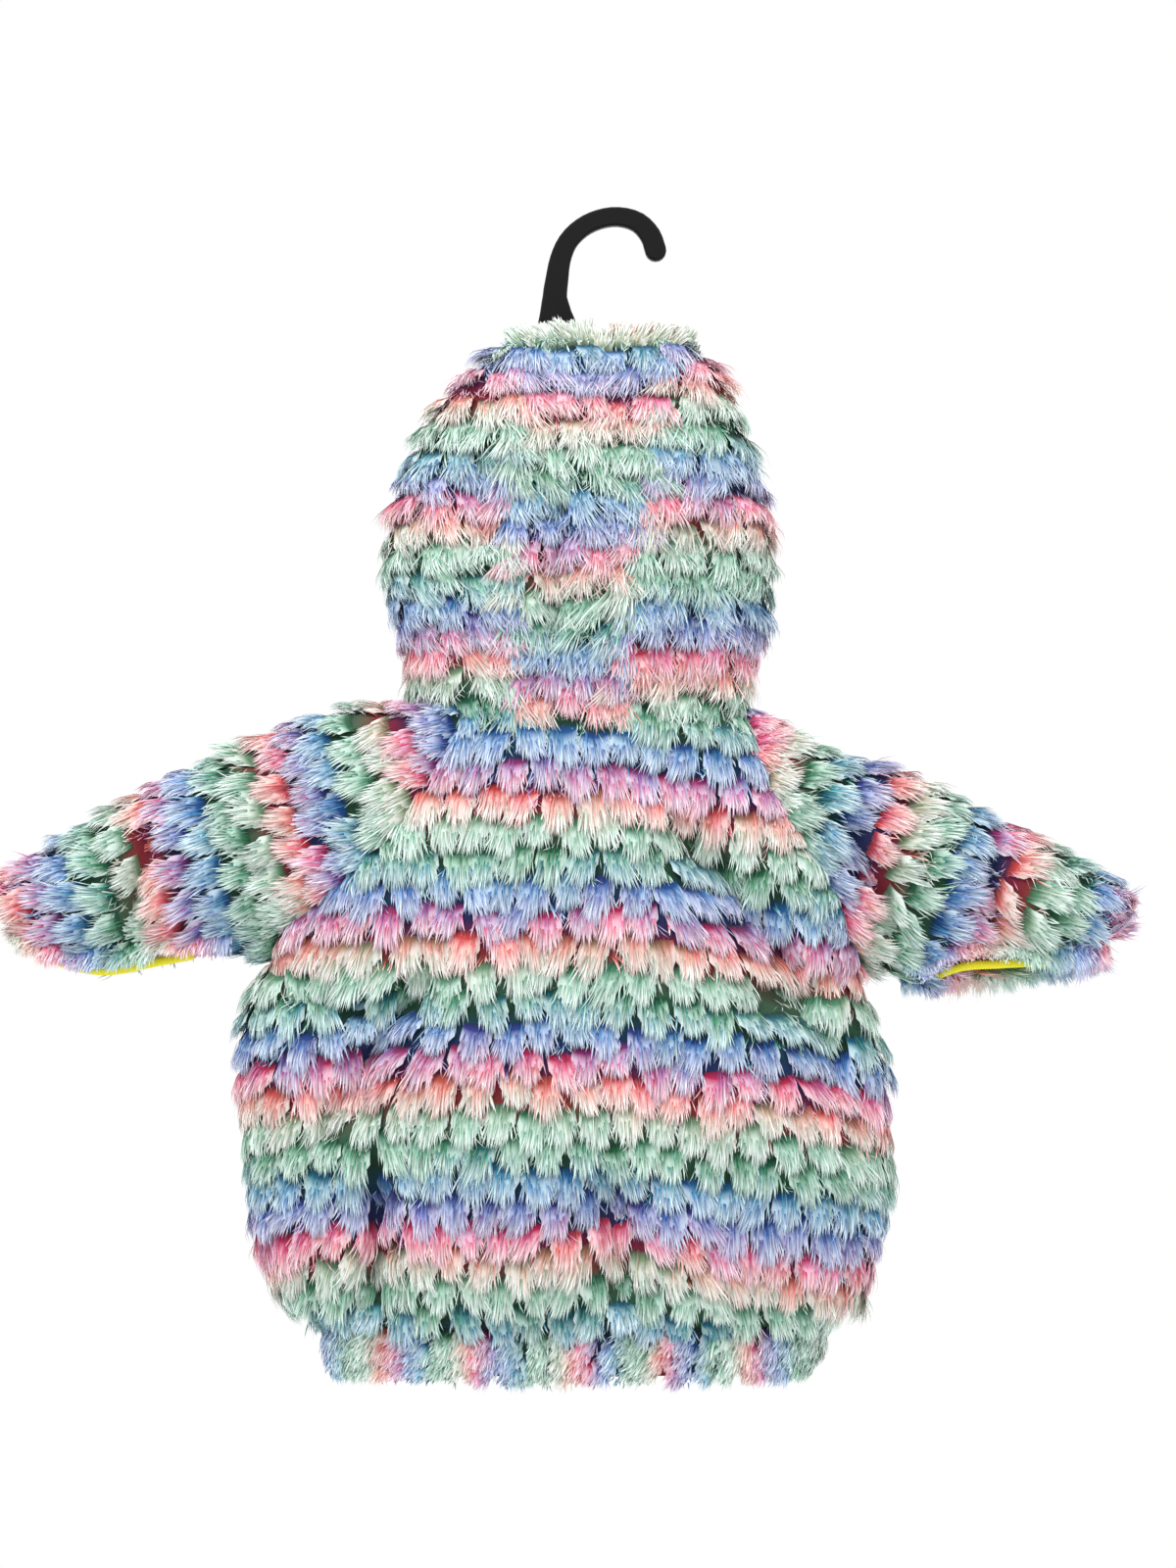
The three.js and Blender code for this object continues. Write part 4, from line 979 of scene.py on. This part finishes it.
@cache
def pile_material():
    """Dyed pile with painted shade towards its roots, whose fibres are long, narrow specks of light and
    shade.
    """
    material, nodes, links, shader = new_material("plush pile", 0.7)
    place = nodes.new("ShaderNodeUVMap")
    place.uv_map = "fibre"
    stretch = nodes.new("ShaderNodeVectorMath")
    stretch.operation = "MULTIPLY"
    stretch.inputs[1].default_value = (1.9, 0.09, 1.0)
    noise = nodes.new("ShaderNodeTexNoise")
    set_inputs(noise, {"Scale": 1.0, "Detail": 3.0})
    light = nodes.new("ShaderNodeMapRange")
    set_inputs(light, {"From Min": 0.3, "From Max": 0.7, "To Min": 0.84, "To Max": 1.1})
    shade = nodes.new("ShaderNodeVectorMath")
    shade.operation = "SCALE"
    links.new(place.outputs["UV"], stretch.inputs[0])
    links.new(stretch.outputs["Vector"], noise.inputs["Vector"])
    links.new(noise.outputs["Fac"], light.inputs["Value"])
    links.new(add_dye_and_painted_shade(nodes), shade.inputs[0])
    links.new(light.outputs["Result"], shade.inputs["Scale"])
    links.new(shade.outputs["Vector"], shader.inputs["Base Color"])
    add_bump(nodes, links, shader, noise, 0.6, 0.0008)
    set_inputs(shader, {"Sheen Weight": 0.2, "Sheen Roughness": 0.5, "Specular IOR Level": 0.2})
    return material


@cache
def backing_material():
    material, nodes, links, shader = new_material("plush backing", 0.9)
    links.new(add_dye_and_painted_shade(nodes), shader.inputs["Base Color"])
    noise = nodes.new("ShaderNodeTexNoise")
    set_inputs(noise, {"Scale": 900})
    add_bump(nodes, links, shader, noise, 0.4, 0.0006)
    return material


SEAM_LINE = 60  # points on the line along which a row of tufts at a seam is spaced


def body_lie(points):
    """Down, and a little outwards towards the sides."""
    out = 0.22 * (points[:, 0] + 22) / 170
    return np.stack([out, np.zeros(len(points)), -np.ones(len(points))], axis=-1)


def body_pieces():
    """Back and front of the body, with a closer row of tufts along each side seam."""
    armpit = (NECK_Z - ARMPIT_Z) / (NECK_Z - HEM_SEAM_Z)
    pinks = tuple(-z for z in BODY_PINKS)
    for face, word in ((-1, "back"), (1, "front")):
        skin = body_skin_of(face)
        panel = (np.random.default_rng(SEED + face + 2), skin, body_nap, pinks)
        u, v = tuft_roots(skin, body_nap, first=FIRST_ROW["body"])
        kept = skin(u, v, ROOT_INSET)[:, 2] > LAST_ROW_Z
        parts = [pile_arrays(panel, u[kept], v[kept], body_lie, word, under=UNDERCOAT["body"])]
        for edge in (0.006, 0.994):
            line_v = np.linspace(0.005, armpit, SEAM_LINE)
            u, v = line_roots(skin, np.full(SEAM_LINE, edge), line_v, SEAM_PITCH)
            parts.append(pile_arrays(panel, u, v, body_lie, word + "_seam"))
        add_plush(f"body_{word}", panel, "body", parts)


def crest_lie(points):
    """Up and outwards, as the pile stands at the hood's top slot."""
    return np.stack([(points[:, 0] + 11) / 60, np.sign(points[:, 1]) * 0.6, np.ones(len(points))], axis=-1)


def hood_pieces():
    """The three panels of the hood, with two rows of standing tufts along the top slot."""
    panels = {
        "centre": (hood_centre_skin, "hood_centre"),
        "left": (hood_side_skin_of(-1), "hood_side"),
        "right": (hood_side_skin_of(1), "hood_side"),
    }
    for seed, (word, (skin, kind)) in enumerate(panels.items()):
        pinks = tuple(-z for z in HOOD_PINKS[word])
        panel = (np.random.default_rng(SEED + 10 + seed), skin, down_nap, pinks)
        u, v = tuft_roots(skin, down_nap, HOOD_PITCH, HOOD_TUFT, first=FIRST_ROW["hood"])
        parts = [pile_arrays(panel, u, v, (0, 0, -1), "hood", under=UNDERCOAT["hood"], **HOOD_LOOK)]
        line_u = np.linspace(0.0, 1.0, SEAM_LINE)
        for line_v, row, phase in ((0.055, "lower_crest", 0.76), (0.03, "upper_crest", 0.74)):
            u, v = line_roots(skin, line_u, np.full(SEAM_LINE, line_v), CREST_PITCH)
            parts.append(pile_arrays(panel, u, v, crest_lie, row, phase=phase))
        add_plush(f"hood_{word}", panel, kind, parts)


WING_END = 0.9  # where the shorter tufts of a wing's end begin
TIP_TUFTS = 9
SEAM_POINTS = 120

def wing_pieces():
    """The two wings: even rows, shorter tufts at the end, a row at the seam, fringes and the tip."""
    for seed, (word, wing) in enumerate(WINGS.items()):
        axis = WING_AXES[word]
        skin = wing_skin_of(wing)
        nap = wing_nap_of(axis)
        lie = (axis["x"], 0, axis["z"])
        panel = (np.random.default_rng(SEED + 20 + seed), skin, nap, axis["pinks"])
        u, v = tuft_roots(skin, nap)
        end = v > WING_END
        parts = [
            pile_arrays(panel, u[~end], v[~end], lie, "wing", under=UNDERCOAT["wing"]),
            pile_arrays(panel, u[end], v[end], lie, "wing_end"),
        ]
        line_u = np.linspace(0.01, 0.99, SEAM_POINTS)
        u, v = line_roots(skin, line_u, np.full(SEAM_POINTS, 0.012), SEAM_PITCH)
        parts.append(pile_arrays(panel, u, v, lie, "wing_seam"))
        for face, fringe in ((-1, "back_fringe"), (1, "front_fringe")):
            parts.append(fringe_arrays(panel, wing, face, axis[fringe]))
        u = np.linspace(0.03, 0.97, TIP_TUFTS)
        v = np.full(TIP_TUFTS, 0.965)
        parts.append(pile_arrays(panel, u, v, lie, "wing_tip"))
        add_plush(f"wing_{word}", panel, f"wing_{word}", parts)


HEM_LIE = (-0.5, 0, -1)
HEM_ROWS = np.array([0.05, 0.26, 0.47, 0.7])
HEM_EDGE_ROW = 0.87


def hem_nap(points):
    return -points[..., 0]


def hem_pieces():
    """The hem band: a column of tufts on each rib, and short ones between them at its edge."""
    pinks = tuple(-x for x in reversed(HEM_PINKS))
    random = np.random.default_rng(SEED + 30)
    panel = (random, hem_skin, hem_nap, pinks)
    ribs = (np.arange(HEM_RIBS) + 0.5) / HEM_RIBS
    u, v = np.meshgrid(ribs, HEM_ROWS, indexing="ij")
    u = (u + random.normal(0, 0.0012, u.shape)).ravel()
    v = np.clip(v + random.normal(0, 0.03, v.shape), 0, 1).ravel()
    parts = [pile_arrays(panel, u, v, HEM_LIE, "hem", **HEM_LOOK)]
    u = ribs + 0.5 / HEM_RIBS
    v = np.full(HEM_RIBS, HEM_EDGE_ROW)
    parts.append(pile_arrays(panel, u, v, HEM_LIE, "hem_edge", **HEM_LOOK))
    add_plush("hem_band", panel, "hem_band", parts)


# The binding of a hand slit, with margins as shares of the wing's length
TAPE = {
    "points": 320, "sides": 10, "rib_pitch": 1.35, "rib_low": 0.86, "half_thick": 1.5, "half_wide": 2.5,
    "rib_lean": 0.25, "behind": 1, "back_margin": 0.02, "front_margin": 0.16, "clear": 1.4, "wall": 9,
}


def ribbed_tape(name, wing, face, node):
    """The overlocked binding of a hand slit: close ribs round a flat tape."""
    margin = TAPE["back_margin"] if face < 0 else TAPE["front_margin"]
    s = np.linspace(SLIT["start"] + margin, SLIT["end"] - margin, TAPE["points"])
    outer = wing_point(wing, np.full(s.shape, float(face)), s, 0)
    inner = wing_point(wing, np.full(s.shape, float(face)), s, TAPE["wall"])
    if face < 0:
        route = outer + np.array([0, -TAPE["behind"], -TAPE["half_wide"] - 2 * HALF_SEAM])
    else:
        route = (outer + inner) / 2
        route[:, 1] = np.minimum(outer[:, 1], inner[:, 1]) - TAPE["half_thick"] - TAPE["clear"]
    arc = np.concatenate([[0], np.cumsum(np.linalg.norm(np.diff(route, axis=0), axis=1))])
    rib = 0.5 + 0.5 * np.cos(2 * math.pi * arc / TAPE["rib_pitch"])
    sides = TAPE["sides"]
    turn = np.arange(sides) * 2 * math.pi / sides
    grow = mix(TAPE["rib_low"], 1, rib)[:, None]
    y = TAPE["half_thick"] * grow * np.cos(turn)
    z = TAPE["half_wide"] * grow * np.sin(turn)
    x = np.broadcast_to(TAPE["rib_lean"] * np.sin(turn), y.shape)
    points = (route[:, None, :] + np.stack([x, y, z], axis=-1)).reshape(-1, 3)
    index = np.arange(len(points)).reshape(len(s), sides)
    after = np.roll(index, -1, axis=1)
    quads = np.stack([index[:-1], after[:-1], after[1:], index[1:]], axis=-1).reshape(-1, 4)
    faces = [tuple(quad) for quad in quads] + [tuple(index[0][::-1]), tuple(index[-1])]
    tape = add_mesh(name, points, faces)
    if signed_volume(points, quads) < 0:
        tape.data.flip_normals()
    tape.data.materials.append(tape_material())
    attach(tape, "root")
    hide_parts(node)


@cache
def tape_material():
    material, _, _, shader = new_material("slit tape", 0.7)
    set_inputs(shader, {"Base Color": (0.85, 0.78, 0.015, 1)})
    return material


def tapes():
    for word, wing in WINGS.items():
        for face, place in ((-1, "back"), (1, "front")):
            ribbed_tape(f"tape_{word}_{place}", wing, face, f"slit_tape_{word}_{place}")


def hanger_look():
    """Black moulded plastic with a fine grain, on the solid itself."""
    material, nodes, links, shader = new_material("hanger plastic", 0.38)
    set_inputs(shader, {"Base Color": (0.004, 0.004, 0.0045, 1), "Specular IOR Level": 0.14})
    noise = nodes.new("ShaderNodeTexNoise")
    set_inputs(noise, {"Scale": 260})
    add_bump(nodes, links, shader, noise, 0.12, 0.0003)
    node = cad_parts["hanger"]
    node.data.materials.clear()
    node.data.materials.append(material)


# The studio, in metres, with the floor in millimetres as every mesh
MIDDLE_OF_PART = (-0.0155, 0, -0.2845)
CAMERA_DISTANCE = 1.4
VIEW_HEIGHT = 0.8
SENSOR = 24
FLOOR = {"radius": 1900, "z": -1250.0, "sides": 64, "grey": 0.93}


def aimed_light(name, place, size, power):
    data = bpy.data.lights.new(name, "AREA")
    data.shape = "DISK"
    data.size = size
    data.energy = power
    light = bpy.data.objects.new(name, data)
    light.location = place
    way = np.array(MIDDLE_OF_PART) - np.array(place)
    flat = math.hypot(way[0], way[1])
    light.rotation_euler = (math.atan2(flat, -way[2]), 0, math.atan2(way[0], -way[1]) + math.pi)
    bpy.context.scene.collection.objects.link(light)


def white_world():
    scene = bpy.context.scene
    world = bpy.data.worlds.new("studio")
    world.use_nodes = True
    set_inputs(world.node_tree.nodes["Background"], {"Color": (1, 1, 1, 1), "Strength": 1.0})
    scene.world = world
    scene.view_settings.view_transform = "Standard"


def add_floor():
    sides = FLOOR["sides"]
    turn = np.arange(sides) * 2 * math.pi / sides
    x = FLOOR["radius"] * np.cos(turn)
    y = FLOOR["radius"] * np.sin(turn)
    rim = np.stack([x, y, np.full(sides, FLOOR["z"])], axis=-1)
    floor = add_mesh("floor", rim, [tuple(range(sides))], smooth=False)
    material, _, _, shader = new_material("floor", 0.9)
    grey = FLOOR["grey"]
    set_inputs(shader, {"Base Color": (grey, grey, grey, 1)})
    floor.data.materials.append(material)


def add_camera():
    """A camera straight behind the garment, as the photo was taken."""
    scene = bpy.context.scene
    data = bpy.data.cameras.new("camera")
    data.sensor_fit = "VERTICAL"
    data.sensor_height = SENSOR
    data.lens = SENSOR * CAMERA_DISTANCE / VIEW_HEIGHT
    camera = bpy.data.objects.new("camera", data)
    camera.location = (MIDDLE_OF_PART[0], -CAMERA_DISTANCE, MIDDLE_OF_PART[2])
    camera.rotation_euler = (math.pi / 2, 0, 0)
    scene.collection.objects.link(camera)
    scene.camera = camera


def studio():
    white_world()
    aimed_light("key", (-0.55, -1.1, 0.95), size=0.6, power=18)
    aimed_light("fill", (1.1, -1.2, 0.1), size=1.0, power=3)
    add_floor()
    add_camera()


body_pieces()
hood_pieces()
wing_pieces()
hem_pieces()
tapes()
hanger_look()
studio()
